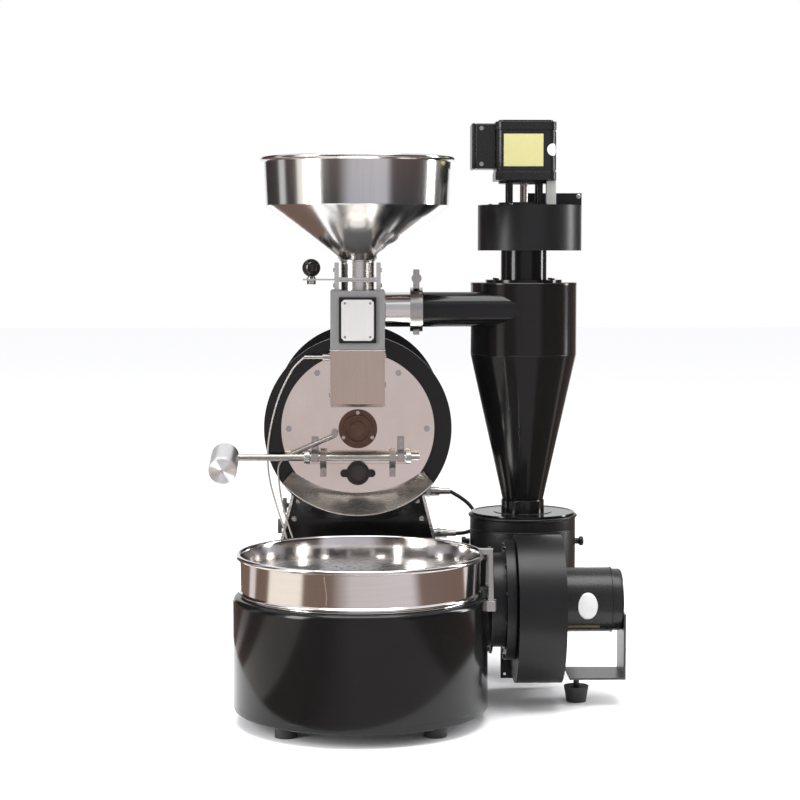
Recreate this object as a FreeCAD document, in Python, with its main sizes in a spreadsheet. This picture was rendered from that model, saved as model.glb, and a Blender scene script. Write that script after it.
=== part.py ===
import FreeCAD, Part
import math
import os
import re

import Sketcher
from FreeCAD import Placement, Rotation, Vector

# A gas drum roaster for coffee beans. Its hopper stands on a chute box over the
# drum's faceplate, a cooling bin with its own blower stands in front, and a
# cyclone with an exhaust fan stands over a chaff can at the right.
# Sizes are in millimetres and degrees. X runs to the right, Y to the back, Z up.
# Formulas count X and Y from the drum's axis and the faceplate's front.

SIZES = {
    # Drum and housing
    "axis_height": 377.3,
    "plate_radius": 110.9,
    "plate_thick": 4,
    "feed_half": 26,
    "feed_rise": 37.7,
    "feed_height": 43,
    "ring_radius": 136.2,
    "ring_thick": 8,
    "shell_radius": 118,
    "shell_bore": 100,
    "housing_length": 412,
    "rear_thick": 5,
    "drum_radius": 95,
    "drum_wall": 2.5,
    "drum_front_gap": 1.5,
    "drum_rear_gap": 8,
    "vane_height": 22,
    "vane_thick": 2,
    "drum_shaft_radius": 11,
    "spider_width": 12,
    "spider_thick": 4,
    "spider_inset": 25,
    "running_gap": 0.05,
    "seat_gap": 0.3,
    # Bearings at both ends of the drum shaft
    "flange_radius": 28,
    "flange_thick": 6,
    "hub_radius": 20.5,
    "hub_bore": 18,
    "hub_length": 12,
    "shaft_inset": 3,
    "bearing_bolt_ring": 24,
    # Bolts
    "plate_bolt_ring": 100,
    "bolt_radius": 4.6,
    "bolt_height": 4,
    "small_bolt_radius": 3,
    "small_bolt_height": 2.4,
    # Chain drive behind the housing
    "chain_pitch": 6.35,
    "drum_teeth": 36,
    "motor_teeth": 12,
    "roller_radius": 1.65,
    "sprocket_thick": 5,
    "sprocket_gap": 4,
    "chain_height": 5,
    "drive_height": 150,
    "drive_shaft_radius": 6,
    "gearbox_width": 74,
    "gearbox_length": 55,
    "drive_motor_radius": 34,
    "drive_motor_length": 90,
    # Discharge door and its lift shaft
    "door_radius": 90.5,
    "door_drop": 51,
    "door_thick": 4,
    "door_lap": 6,
    "hinge_reach": 25,
    "hinge_drop": 39.3,
    "door_shaft_radius": 5,
    "door_shaft_end": 88.7,
    "strap_spacing": 50,
    "strap_width": 9,
    "strap_thick": 5,
    "strap_drop": 69.3,
    "bracket_spacing": 62,
    "bracket_width": 10,
    "bracket_low_drop": 48.3,
    "bracket_high_drop": 11.3,
    "bracket_thick": 6,
    "weight_place": 191,
    "weight_radius": 20,
    "weight_length": 62,
    "weight_tilt": 15,
    "weight_bore_inset": 8,
    "strap_eye": 9,
    "sight_drop": 64.3,
    "sight_radius": 13.5,
    "sight_ring_radius": 17,
    "sight_ring_thick": 5,
    "sight_ear_spacing": 20,
    "sight_ear_radius": 5.5,
    "sight_lip": 1.5,
    # Discharge scoop
    "bib_wall": 1.5,
    "bib_reach": 58,
    "bib_back_half": 94.5,
    "bib_back_side": 61.6,
    "bib_back_drop": 93.5,
    "bib_front_half": 106.8,
    "bib_front_side": 72.7,
    "bib_front_drop": 118.3,
    # Chute under the hopper
    "chute_half": 38.5,
    "chute_reach": 70,
    "chute_back": 50,
    "split_rise": 117.6,
    "chute_height": 83.5,
    "chute_wall": 2,
    "front_foot_rise": 40.7,
    "chute_bearing_gap": 3,
    "ring_air_gap": 2.5,
    "name_frame_width": 52.6,
    "name_frame_height": 64.6,
    "name_frame_thick": 3,
    "name_rise": 41.9,
    # Hopper, its neck and slide gate
    "hopper_depth": 10,
    "neck_radius": 23.75,
    "neck_wall": 1.5,
    "neck_height": 41.6,
    "hopper_wall": 1.5,
    "cone_height": 78.4,
    "cone_radius": 131,
    "hopper_radius": 134,
    "hopper_height": 148,
    "rim_radius": 139.4,
    "rim_height": 7,
    "rim_round": 3,
    "gate_rise": 14,
    "gate_thick": 2,
    "gate_half": 24.5,
    "gate_left": 78,
    "gate_right": 26,
    "guide_inner": 27,
    "guide_thick": 6,
    "guide_half": 27,
    "guide_height": 39.4,
    "collar_thick": 2,
    "knob_place": 66.4,
    "knob_radius": 13.25,
    "knob_rise": 17.6,
    "knob_stud_radius": 4,
    "knob_nut_radius": 6.5,
    "knob_nut_height": 6,
    # Chaff duct
    "duct_depth": 20,
    "duct_rise": 54.6,
    "duct_radius": 25.4,
    "duct_wall": 1.5,
    "stub_end": 76,
    "clamp_width": 18,
    "clamp_radius": 32,
    "wing_radius": 4,
    "wing_span": 26,
    "wing_height": 12,
    # Cyclone and exhaust fan
    "cyclone_place": 245.4,
    "cyclone_depth": 73,
    "cyclone_radius": 78.6,
    "barrel_over": 38.5,
    "barrel_under": 67.5,
    "cyclone_foot_length": 18,
    "outlet_radius": 29.7,
    "cyclone_wall": 1.5,
    "vortex_radius": 30,
    "top_plate_radius": 56.5,
    "top_plate_thick": 4,
    "exhaust_neck_radius": 33.85,
    "exhaust_lift": 46.9,
    "exhaust_height": 66.5,
    "exhaust_radius": 59.9,
    "exhaust_growth": 24.7,
    "exhaust_throat": 10.6,
    "exhaust_outlet_back": 80,
    "fan_wall": 2,
    "exhaust_flange_border": 9,
    "exhaust_flange_height": 86.7,
    "flange_plate": 3,
    "flange_hole": 2.2,
    "exhaust_hole_inset": 4.5,
    "outlet_hole_inset": 6,
    "lantern_radius": 37.7,
    "lantern_height": 35.6,
    "lantern_ring": 4,
    "post_radius": 4,
    "post_ring": 31,
    "motor_width": 89,
    "motor_round": 12,
    "box_round": 7,
    "motor_height": 87.4,
    "box_reach": 34,
    "box_half": 27,
    "box_height": 67,
    "box_lift": 16.5,
    "exhaust_wheel_radius": 50,
    "exhaust_wheel_width": 44,
    "fan_shaft_radius": 6,
    # Chaff can and its shelf
    "can_radius": 79,
    "can_base": 78,
    "can_height": 166.7,
    "can_lip": 70,
    "lid_radius": 77,
    "can_wall": 1.5,
    "bead_radius": 81,
    "bead_height": 5,
    "lid_thick": 3,
    "collar_wall": 2,
    "collar_height": 18,
    "can_knob_height": 202,
    "can_knob_radius": 7,
    "can_knob_reach": 12,
    "shelf_thick": 4,
    "shelf_half": 40,
    "shelf_reach": 60,
    # Stand under the drum
    "stand_front": 30,
    "stand_inset": 24,
    "stand_base": 22,
    "stand_drop": 87.3,
    "stand_floor_half": 166.4,
    "stand_slope": 0.2467,
    "cover_width": 4.4,
    "panel_thick": 2,
    "foot_radius": 15,
    "foot_spread": 120,
    "foot_inset": 30,
    "burner_drop": 152.3,
    "burner_radius": 9,
    "burner_spacing": 40,
    "burner_length": 180,
    "manifold_depth": 20,
    "control_depth": 340,
    "burner_knob_height": 223,
    "air_knob_height": 189,
    "control_radius": 12,
    "control_length": 6,
    "control_stem_radius": 4,
    "control_stem_length": 2,
    # Gas line on the stand's right side
    "gas_depth": 165,
    "gas_upper_height": 266,
    "gas_lower_height": 201,
    "gas_upper_end": 141,
    "gas_lower_end": 150,
    "fitting_radius": 7,
    "hose_radius": 3,
    # Probe cables
    "cable_radius": 1.3,
    "probe_rise": 105.7,
    "probe_depth": 40,
    "probe_nut_end": 50,
    "probe_nut_radius": 4.5,
    "probe_end": 76,
    "sleeve_radius": 2.5,
    "boss_place": 33.5,
    "boss_drop": 6.3,
    "boss_radius": 5,
    "boss_length": 18,
    "sheath_radius": 3,
    "sheath_end": 97,
    "sheath_depth": 14,
    "sheath_drop": 27,
    "sheath_lift": -3,
    "gland_height": 181,
    "gland_radius": 5,
    "gland_length": 12,
    "upper_gland": 98,
    "lower_gland": 86,
    # Cooling bin and bowl
    "bin_place": 4,
    "bin_depth": 213,
    "bin_radius": 171.9,
    "bin_base": 17.6,
    "bin_top": 173,
    "bin_wall": 2,
    "bowl_seat": 3,
    "bin_round": 8,
    "bowl_foot_radius": 161,
    "bowl_flare": 1.5,
    "bowl_wall": 1.5,
    "bowl_top": 229,
    "bowl_rim_reach": 5.5,
    "bowl_rim_height": 7,
    "sieve_height": 187,
    "sieve_thick": 1.5,
    "ledge_width": 8,
    "sieve_hole": 2.5,
    "sieve_pitch": 17,
    "bin_foot_ring": 138,
    "tie_spacing": 60,
    "tie_width": 16,
    "tie_base": 60,
    "tie_top": 100,
    "latch_turn": 8,
    "latch_height": 160,
    "latch_pin": 2,
    "latch_ear": 3.5,
    "latch_reach": 8,
    "latch_width": 12,
    "latch_arm": 3.5,
    "latch_tail": 4.5,
    # Cooling blower
    "blower_depth": 107,
    "blower_height": 145,
    "throat_height": 122,
    "throat_radius": 42,
    "duct_face": 184,
    "duct_flange_radius": 75,
    "duct_flange_thick": 3,
    "duct_drum_radius": 66,
    "duct_drum_length": 18,
    "cover_radius": 84,
    "cover_thick": 15,
    "inlet_radius": 45,
    "volute_width": 65,
    "volute_radius": 79,
    "volute_growth": 38.5,
    "volute_throat": 37,
    "volute_outlet_back": 90,
    "outlet_border": 13,
    "blower_wheel_radius": 58,
    "blower_wheel_width": 48,
    "blower_motor_radius": 45.9,
    "blower_motor_length": 85,
    "cap_radius": 43.5,
    "cap_length": 14,
    "mount_thick": 3,
    "mount_half": 38,
    "mount_height": 38,
    "mount_top": 130,
    "mount_length": 78,
    "stud_place": 308,
    "stud_radius": 4,
    "pad_radius": 17.5,
    "pad_foot_radius": 13.8,
    "pad_height": 22.3,
}

# Heights and lengths that follow from other sizes
FOLLOWING = {
    "feed_base": "axis_height + feed_rise",
    "feed_top": "feed_base + feed_height",
    "chute_split": "axis_height + split_rise",
    "chute_top": "chute_split + chute_height",
    "chute_front_foot": "axis_height + front_foot_rise",
    "name_centre": "chute_split + name_rise",
    "neck_top": "chute_top + neck_height",
    "cone_top": "neck_top + cone_height",
    "hopper_top": "neck_top + hopper_height",
    "gate_height": "chute_top + gate_rise",
    "guide_top": "chute_top + guide_height",
    "knob_height": "gate_height + knob_rise",
    "duct_height": "chute_split + duct_rise",
    "cyclone_top": "duct_height + barrel_over",
    "cyclone_shoulder": "duct_height - barrel_under",
    "exhaust_base": "cyclone_top + exhaust_lift",
    "exhaust_flange_top": "exhaust_base + exhaust_flange_height",
    "can_top": "can_base + can_height",
    "cyclone_waist": "can_top + lid_thick + cyclone_foot_length",
    "strap_foot": "axis_height - strap_drop",
    "bracket_foot": "axis_height - bracket_low_drop",
    "bracket_top": "axis_height - bracket_high_drop",
    "stand_top": "axis_height - stand_drop",
    "burner_height": "axis_height - burner_drop",
    "probe_height": "axis_height + probe_rise",
    "boss_height": "axis_height - boss_drop",
    "bin_mouth": "bowl_foot_radius - bowl_seat",
    "bowl_radius": "bowl_foot_radius + bowl_flare",
    "bowl_rim_radius": "bowl_radius + bowl_rim_reach",
    "stand_length": "plate_thick + ring_thick + housing_length - stand_front - stand_inset",
}

BLADES = 16
VANES = 6
ARMS = 3
SIEVE_RINGS = 8
PLATE_BOLT_ANGLES = (0, 54, 126, 180)
BEARING_BOLT_ANGLES = (90, 210, 330)

# Formulas that several pieces share
RING_BACK = "plate_thick + ring_thick"
HOUSING_END = RING_BACK + " + housing_length"
REAR_FACE = HOUSING_END + " + rear_thick"
SPROCKET_FRONT = REAR_FACE + " + hub_length + sprocket_gap"
SHAFT_BACK = SPROCKET_FRONT + " + sprocket_thick + sprocket_gap"
DRUM_FRONT = "plate_thick + drum_front_gap"
DRUM_LENGTH = "ring_thick + housing_length - drum_front_gap - drum_rear_gap"
DRUM_PITCH = "chain_pitch / 2 / sin(180 / drum_teeth)"
MOTOR_PITCH = "chain_pitch / 2 / sin(180 / motor_teeth)"
DOOR_FRONT = "-seat_gap - door_thick"
HINGE_Z = "axis_height - hinge_drop"
SIGHT_Z = "axis_height - sight_drop"
LID_TOP = "can_top + lid_thick"
EXHAUST_TOP = "exhaust_base + exhaust_height"
MOTOR_BASE = EXHAUST_TOP + " + lantern_height"
STAND_BACK = "stand_front + stand_length"
COVER_FACE = "duct_face + duct_flange_thick + duct_drum_length"
VOLUTE_FACE = COVER_FACE + " + cover_thick"
BLOWER_MOTOR_FACE = VOLUTE_FACE + " + volute_width"
MOUNT_FACE = BLOWER_MOTOR_FACE + " + blower_motor_length"

# The middle of the whole roaster, which becomes the origin
MIDDLE_X = "(" + MOUNT_FACE + " + mount_thick - weight_place - weight_radius) / 2"
MIDDLE_Y = "(" + SHAFT_BACK + " - bin_depth - bin_radius) / 2"

middles = [MIDDLE_X, MIDDLE_Y, "0"]

TURNS = {
    "Z": Rotation(),
    "-Z": Rotation(Vector(1, 0, 0), 180),
    "Y": Rotation(Vector(1, 0, 0), -90),
    "-Y": Rotation(Vector(1, 0, 0), 90),
    "X": Rotation(Vector(0, 1, 0), 90),
    "-X": Rotation(Vector(0, 1, 0), -90),
}
# Outlines seen from the side: their first number runs along Y, their second up
SIDEWAYS = Rotation(Vector(0, 1, 0), Vector(0, 0, 1), Vector(1, 0, 0))
# Outlines seen from the front: their first number runs along X, their second up
FRONTWAYS = Rotation(Vector(1, 0, 0), 90)

doc = FreeCAD.newDocument("CoffeeRoaster")
sheet = doc.addObject("Spreadsheet::Sheet", "Sizes")
for row, (name, number) in enumerate(SIZES.items(), start=1):
    sheet.set(f"A{row}", name)
    sheet.set(f"B{row}", str(number))
    sheet.setAlias(f"B{row}", name)
doc.recompute()


def sized(formula):
    """Point each size named in a formula at its cell in the sheet."""
    def cell(found):
        word = found.group()
        if word in FOLLOWING:
            return "(" + sized(FOLLOWING[word]) + ")"
        return "Sizes." + word if word in SIZES else word
    return re.sub(r"[a-z_]+", cell, str(formula))


def bind(obj, **formulas):
    for prop, formula in formulas.items():
        obj.setExpression(prop, sized(formula))


def place(obj, at, turn):
    """Put an object's own origin at a point counted from the drum's front."""
    if isinstance(turn, str):
        turn = TURNS[turn]
    obj.Placement = Placement(Vector(), turn)
    for letter, formula, middle in zip("xyz", at, middles):
        obj.setExpression("Placement.Base." + letter, sized(f"{formula} - ({middle})"))
    return obj


def cylinder(name, radius, length, at, axis="Z"):
    obj = doc.addObject("Part::Cylinder", name)
    bind(obj, Radius=radius, Height=length)
    return place(obj, at, axis)


def block(name, size, at, turn="Z"):
    """A box from its low corner, with its three sizes."""
    obj = doc.addObject("Part::Box", name)
    bind(obj, Length=size[0], Width=size[1], Height=size[2])
    return place(obj, at, turn)


def hexagon(name, radius, height, at, axis="Z"):
    obj = doc.addObject("Part::Prism", name)
    obj.Polygon = 6
    bind(obj, Circumradius=radius, Height=height)
    return place(obj, at, axis)


def ball(name, radius, at):
    obj = doc.addObject("Part::Sphere", name)
    bind(obj, Radius=radius)
    return place(obj, at, "Z")


def joined(name, pieces):
    obj = doc.addObject("Part::MultiFuse", name)
    obj.Shapes = list(pieces)
    obj.Refine = True
    return obj


def shared(name, pieces):
    obj = doc.addObject("Part::MultiCommon", name)
    obj.Shapes = list(pieces)
    return obj


def cut(name, base, *tools):
    obj = doc.addObject("Part::Cut", name)
    obj.Base = base
    obj.Tool = tools[0] if len(tools) == 1 else joined(name + "_voids", tools)
    return obj


def group(name, pieces):
    """Separate solids that are kept as one sub-part."""
    obj = doc.addObject("Part::Compound", name)
    obj.Links = list(pieces)
    return obj


def tube(name, outer, inner, length, at, axis="Z"):
    return cut(name, cylinder(name + "_outside", outer, length, at, axis),
               cylinder(name + "_bore", inner, length, at, axis))


def origin_plane(body, role):
    return next(p for p in body.Origin.OriginFeatures if p.Role == role)


def outlined_body(name, outline, plane):
    """A body whose sketch has each corner held by two bound distances."""
    body = doc.addObject("PartDesign::Body", name)
    sketch = body.newObject("Sketcher::SketchObject", name + "_outline")
    sketch.AttachmentSupport = [(origin_plane(body, plane), "")]
    sketch.MapMode = "FlatFace"
    count = len(outline)
    turns = [2 * math.pi * i / count for i in range(count)]
    rough = [Vector(100 + 50 * math.cos(a), 100 + 50 * math.sin(a), 0) for a in turns]
    for i in range(count):
        sketch.addGeometry(Part.LineSegment(rough[i], rough[(i + 1) % count]), False)
    for i in range(count):
        sketch.addConstraint(Sketcher.Constraint("Coincident", i, 2, (i + 1) % count, 1))
        for kind, formula, start in (("DistanceX", outline[i][0], rough[i].x),
                                     ("DistanceY", outline[i][1], rough[i].y)):
            index = sketch.addConstraint(Sketcher.Constraint(kind, -1, 1, i, 1, start))
            sketch.setExpression(f"Constraints[{index}]", sized(formula))
    doc.recompute()
    return body, sketch, [line.StartPoint for line in sketch.Geometry]


def rounded(body, feature, outline, touches):
    """Round the edges that belong to the corners given with a third size."""
    doc.recompute()
    radii = {c[2] for c in outline if len(c) == 3}
    for step, radius in enumerate(sorted(radii)):
        corners = [i for i, c in enumerate(outline) if len(c) == 3 and c[2] == radius]
        names = [f"Edge{n}" for n, edge in enumerate(feature.Shape.Edges, start=1)
                 if any(touches(edge, i) for i in corners)]
        fillet = body.newObject("PartDesign::Fillet", f"{body.Name}_round{step}")
        fillet.Base = (feature, names)
        fillet.setExpression("Radius", sized(radius))
        doc.recompute()
        feature = fillet
    body.Tip = feature
    return body


def spun(name, outline, at, axis="Z"):
    """A turned piece: corners are a radius and a height along the axis."""
    body, sketch, points = outlined_body(name, outline, "XZ_Plane")
    turned = body.newObject("PartDesign::Revolution", name + "_turned")
    turned.Profile = sketch
    turned.ReferenceAxis = (sketch, ["V_Axis"])
    turned.Angle = 360

    def touches(edge, i):
        round_edge = hasattr(edge.Curve, "Radius")
        return (round_edge and abs(edge.Curve.Radius - points[i].x) < 1e-4
                and abs(edge.Curve.Center.z - points[i].y) < 1e-4)

    rounded(body, turned, outline, touches)
    return place(body, at, axis)


def padded(name, outline, thick, at, turn="Z"):
    """A plate or bar of one outline, as thick as given along its normal."""
    body, sketch, points = outlined_body(name, outline, "XY_Plane")
    pad = body.newObject("PartDesign::Pad", name + "_pad")
    pad.Profile = sketch
    pad.setExpression("Length", sized(thick))

    def touches(edge, i):
        ends = [corner.Point for corner in edge.Vertexes]
        return all(math.hypot(p.x - points[i].x, p.y - points[i].y) < 1e-4 for p in ends)

    rounded(body, pad, outline, touches)
    return place(body, at, turn)


def bolt_heads(name, places, axis, radius="bolt_radius", height="bolt_height"):
    return [hexagon(f"{name}_{n}", radius, height, at, axis) for n, at in enumerate(places)]


def ring_places(centre, ring, angles, plane="XZ"):
    """Points on a circle in one plane, as formulas."""
    places = []
    for angle in angles:
        steps = (f"{ring} * cos({angle})", f"{ring} * sin({angle})")
        at = list(centre)
        for letter, step in zip(plane, steps):
            index = "XYZ".index(letter)
            at[index] = f"{at[index]} + {step}"
        places.append(tuple(at))
    return places


# Housing of the drum
tube("drum_shell", "shell_radius", "shell_bore", "housing_length",
     ("0", RING_BACK, "axis_height"), "Y")
tube("front_ring", "ring_radius", "shell_bore", "ring_thick",
     ("0", "plate_thick", "axis_height"), "Y")
tube("rear_plate", "ring_radius", "drum_shaft_radius + ring_air_gap", "rear_thick",
     ("0", HOUSING_END, "axis_height"), "Y")

plate_disc = cylinder("plate_disc", "plate_radius", "plate_thick", ("0", "0", "axis_height"), "Y")
plate_shaft_hole = cylinder("plate_shaft_hole", "drum_shaft_radius + ring_air_gap",
                            "plate_thick", ("0", "0", "axis_height"), "Y")
feed_hole = block("feed_hole", ("2 * feed_half", "plate_thick", "feed_top - feed_base"),
                  ("-feed_half", "0", "feed_base"))
door_hole = shared("door_hole", [
    cylinder("door_hole_round", "door_radius - door_lap", "plate_thick",
             ("0", "0", "axis_height"), "Y"),
    block("door_hole_low", ("2 * door_radius", "plate_thick", "door_radius"),
          ("-door_radius", "0", "axis_height - door_drop - door_lap - door_radius"))])
cut("faceplate", plate_disc, plate_shaft_hole, feed_hole, door_hole)

# Bearings and the bolts around them
BEARING_BORE = "drum_shaft_radius + running_gap"
BEARING = [(BEARING_BORE, "0"), ("flange_radius", "0"), ("flange_radius", "flange_thick"),
           ("hub_radius", "flange_thick"), ("hub_radius", "hub_length"),
           ("hub_bore", "hub_length"), ("hub_bore", "flange_thick"),
           (BEARING_BORE, "flange_thick")]
group("shaft_bearings", [
    spun("front_bearing", BEARING, ("0", "0", "axis_height"), "-Y"),
    spun("rear_bearing", BEARING, ("0", REAR_FACE, "axis_height"), "Y")])

front_heads = bolt_heads("plate_bolt", ring_places(
    ("0", "0", "axis_height"), "plate_bolt_ring", PLATE_BOLT_ANGLES), "-Y")
front_heads += bolt_heads("bearing_bolt", ring_places(
    ("0", "-flange_thick", "axis_height"), "bearing_bolt_ring", BEARING_BOLT_ANGLES),
    "-Y", "small_bolt_radius")
front_heads += bolt_heads("rear_bearing_bolt", ring_places(
    ("0", REAR_FACE + " + flange_thick", "axis_height"), "bearing_bolt_ring",
    BEARING_BOLT_ANGLES), "Y", "small_bolt_radius")
front_heads += bolt_heads("bracket_bolt", [
    (f"{side} * bracket_spacing", "-bracket_thick", f"bracket_top - {drop} * bracket_width / 2")
    for side in (-1, 1) for drop in (1, 3)], "-Y", "small_bolt_radius", "small_bolt_height")
group("housing_bolts", front_heads)

# Drum with its lifting vanes
drum_void = cylinder("drum_void", "drum_radius - drum_wall", DRUM_LENGTH + " - drum_wall",
                     ("0", DRUM_FRONT, "axis_height"), "Y")
drum_bore = cylinder("drum_bore", "drum_shaft_radius", DRUM_LENGTH,
                     ("0", DRUM_FRONT, "axis_height"), "Y")
drum_can = cut("drum_can", cylinder("drum_outside", "drum_radius", DRUM_LENGTH,
                                    ("0", DRUM_FRONT, "axis_height"), "Y"), drum_void, drum_bore)
VANE_ROOT = "(drum_radius - drum_wall - vane_height)"
vanes = []
for n in range(VANES):
    angle = 360 * n / VANES
    vanes.append(block(
        f"vane_{n}", ("vane_height + drum_wall / 2", DRUM_LENGTH + " - spider_inset * 2",
                      "vane_thick"),
        (f"{VANE_ROOT} * cos({angle})", DRUM_FRONT + " + spider_inset * 2 - drum_wall / 2",
         f"axis_height - {VANE_ROOT} * sin({angle})"), Rotation(Vector(0, 1, 0), angle)))
joined("roasting_drum", [drum_can] + vanes)

arms = []
for n in range(ARMS):
    angle = 360 * n / ARMS + 30
    arms.append(block(
        f"arm_{n}", ("drum_radius", "spider_thick", "spider_width"),
        (f"-spider_width / 2 * sin({angle})", DRUM_FRONT + " + spider_inset",
         f"axis_height - spider_width / 2 * cos({angle})"), Rotation(Vector(0, 1, 0), angle)))
spider = shared("drum_spider", [
    joined("spider_arms", arms),
    cylinder("spider_reach", "drum_radius - drum_wall", "spider_thick",
             ("0", DRUM_FRONT + " + spider_inset", "axis_height"), "Y")])
joined("drum_shaft", [spider, cylinder(
    "drum_shaft_bar", "drum_shaft_radius", SHAFT_BACK + " + hub_length - shaft_inset",
    ("0", "shaft_inset - hub_length", "axis_height"), "Y")])


def sprocket(name, teeth, pitch, at):
    """A toothed disc: one roller seat is cut and repeated about the centre."""
    body = doc.addObject("PartDesign::Body", name)
    features = []
    for step, (radius, across) in enumerate(((pitch, "0"), ("roller_radius", pitch))):
        sketch = body.newObject("Sketcher::SketchObject", f"{name}_sketch{step}")
        sketch.AttachmentSupport = [(origin_plane(body, "XY_Plane"), "")]
        sketch.MapMode = "FlatFace"
        sketch.addGeometry(Part.Circle(Vector(9, 0, 0), Vector(0, 0, 1), 3), False)
        sketch.addConstraint(Sketcher.Constraint("Radius", 0, 3))
        sketch.addConstraint(Sketcher.Constraint("DistanceX", -1, 1, 0, 3, 9))
        sketch.addConstraint(Sketcher.Constraint("DistanceY", -1, 1, 0, 3, 0))
        sketch.setExpression("Constraints[0]", sized(radius))
        sketch.setExpression("Constraints[1]", sized(across))
        kind = ("PartDesign::Pad", "PartDesign::Pocket")[step]
        feature = body.newObject(kind, f"{name}_feature{step}")
        feature.Profile = sketch
        feature.setExpression("Length", sized(f"sprocket_thick * {1 + 2 * step}"))
        feature.Midplane = True
        features.append(feature)
        doc.recompute()
    pattern = body.newObject("PartDesign::PolarPattern", name + "_seats")
    pattern.Originals = [features[1]]
    pattern.Axis = (features[1].Profile[0], ["N_Axis"])
    pattern.Angle = 360
    pattern.setExpression("Occurrences", sized(teeth))
    body.Tip = pattern
    doc.recompute()
    print(f"{name}: {features[0].Shape.Volume:.0f} mm3 blank, {body.Shape.Volume:.0f} mm3 cut")
    return place(body, at, "Y")


SPROCKET_MIDDLE = SPROCKET_FRONT + " + sprocket_thick / 2"
cut("drum_sprocket",
    sprocket("drum_sprocket_disc", "drum_teeth", DRUM_PITCH, ("0", SPROCKET_MIDDLE, "axis_height")),
    cylinder("drum_sprocket_bore", "drum_shaft_radius", "sprocket_thick",
             ("0", SPROCKET_FRONT, "axis_height"), "Y"))
GEARBOX_FACE = STAND_BACK + " - panel_thick"
joined("motor_sprocket", [
    sprocket("motor_sprocket_disc", "motor_teeth", MOTOR_PITCH, ("0", SPROCKET_MIDDLE, "drive_height")),
    cylinder("drive_shaft", "drive_shaft_radius", f"{SHAFT_BACK} - ({GEARBOX_FACE}) - seat_gap",
             ("0", GEARBOX_FACE + " + seat_gap", "drive_height"), "Y")])
joined("gear_motor", [
    block("gearbox", ("gearbox_width", "gearbox_length", "gearbox_width"),
          ("-gearbox_width / 2", GEARBOX_FACE + " - gearbox_length",
           "drive_height - gearbox_width / 2")),
    cylinder("drive_motor", "drive_motor_radius", "drive_motor_length",
             ("0", GEARBOX_FACE + " - gearbox_length - drive_motor_length", "drive_height"), "Y")])


def loop_face(low_radius, high_radius, low, high):
    """The area inside a belt that runs round two wheels, one above the other."""
    lean = math.asin((high_radius - low_radius) / (high - low))
    tangents = []
    for radius, height in ((low_radius, low), (high_radius, high)):
        across, up = radius * math.cos(lean), -radius * math.sin(lean)
        tangents.append((Vector(across, 0, height + up), Vector(-across, 0, height + up)))
    (low_right, low_left), (high_right, high_left) = tangents
    edges = [Part.Arc(low_left, Vector(0, 0, low - low_radius), low_right).toShape(),
             Part.LineSegment(low_right, high_right).toShape(),
             Part.Arc(high_right, Vector(0, 0, high + high_radius), high_left).toShape(),
             Part.LineSegment(high_left, low_left).toShape()]
    return Part.Face(Part.Wire(edges))


def drive_chain():
    gap = SIZES["seat_gap"]
    radii = [SIZES["chain_pitch"] / 2 / math.sin(math.pi / SIZES[teeth]) + gap
             for teeth in ("motor_teeth", "drum_teeth")]
    heights = SIZES["drive_height"], SIZES["axis_height"]
    outside = loop_face(*(r + SIZES["chain_height"] for r in radii), *heights)
    band = outside.cut(loop_face(*radii, *heights))
    obj = doc.addObject("Part::Feature", "drive_chain")
    obj.Shape = band.extrude(Vector(0, SIZES["sprocket_thick"] * 0.6, 0))
    return place(obj, ("0", SPROCKET_FRONT + " + sprocket_thick * 0.2", "0"), "Z")


drive_chain()

# Door, its lift shaft and the hinge that carries it
SIGHT_HOLE = ("0", DOOR_FRONT, SIGHT_Z)
door_blank = shared("door_blank", [
    cylinder("door_round", "door_radius", "door_thick", ("0", DOOR_FRONT, "axis_height"), "Y"),
    block("door_low", ("2 * door_radius", "door_thick", "door_radius"),
          ("-door_radius", DOOR_FRONT, "axis_height - door_drop - door_radius"))])
cut("discharge_door", door_blank,
    cylinder("door_sight_hole", "sight_radius", "door_thick", SIGHT_HOLE, "Y"))
cylinder("sight_glass", "sight_radius", "door_thick", SIGHT_HOLE, "Y")

RING_FRONT = DOOR_FRONT + " - sight_ring_thick"
ring_pieces = [cylinder("sight_disc", "sight_ring_radius", "sight_ring_thick",
                        ("0", RING_FRONT, SIGHT_Z), "Y"),
               block("sight_bar", ("2 * sight_ear_spacing", "sight_ring_thick",
                                   "2 * sight_ear_radius"),
                     ("-sight_ear_spacing", RING_FRONT, SIGHT_Z + " - sight_ear_radius"))]
for side in (-1, 1):
    ear = (f"{side} * sight_ear_spacing", RING_FRONT, SIGHT_Z)
    ring_pieces.append(cylinder(f"sight_ear_{side + 1}", "sight_ear_radius",
                                "sight_ring_thick", ear, "Y"))
    ring_pieces.append(hexagon(f"sight_bolt_{side + 1}", "small_bolt_radius",
                               "small_bolt_height", ear, "-Y"))
cut("sight_ring", joined("sight_ring_blank", ring_pieces),
    cylinder("sight_ring_bore", "sight_radius - sight_lip", "sight_ring_thick",
             ("0", RING_FRONT, SIGHT_Z), "Y"))

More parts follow.
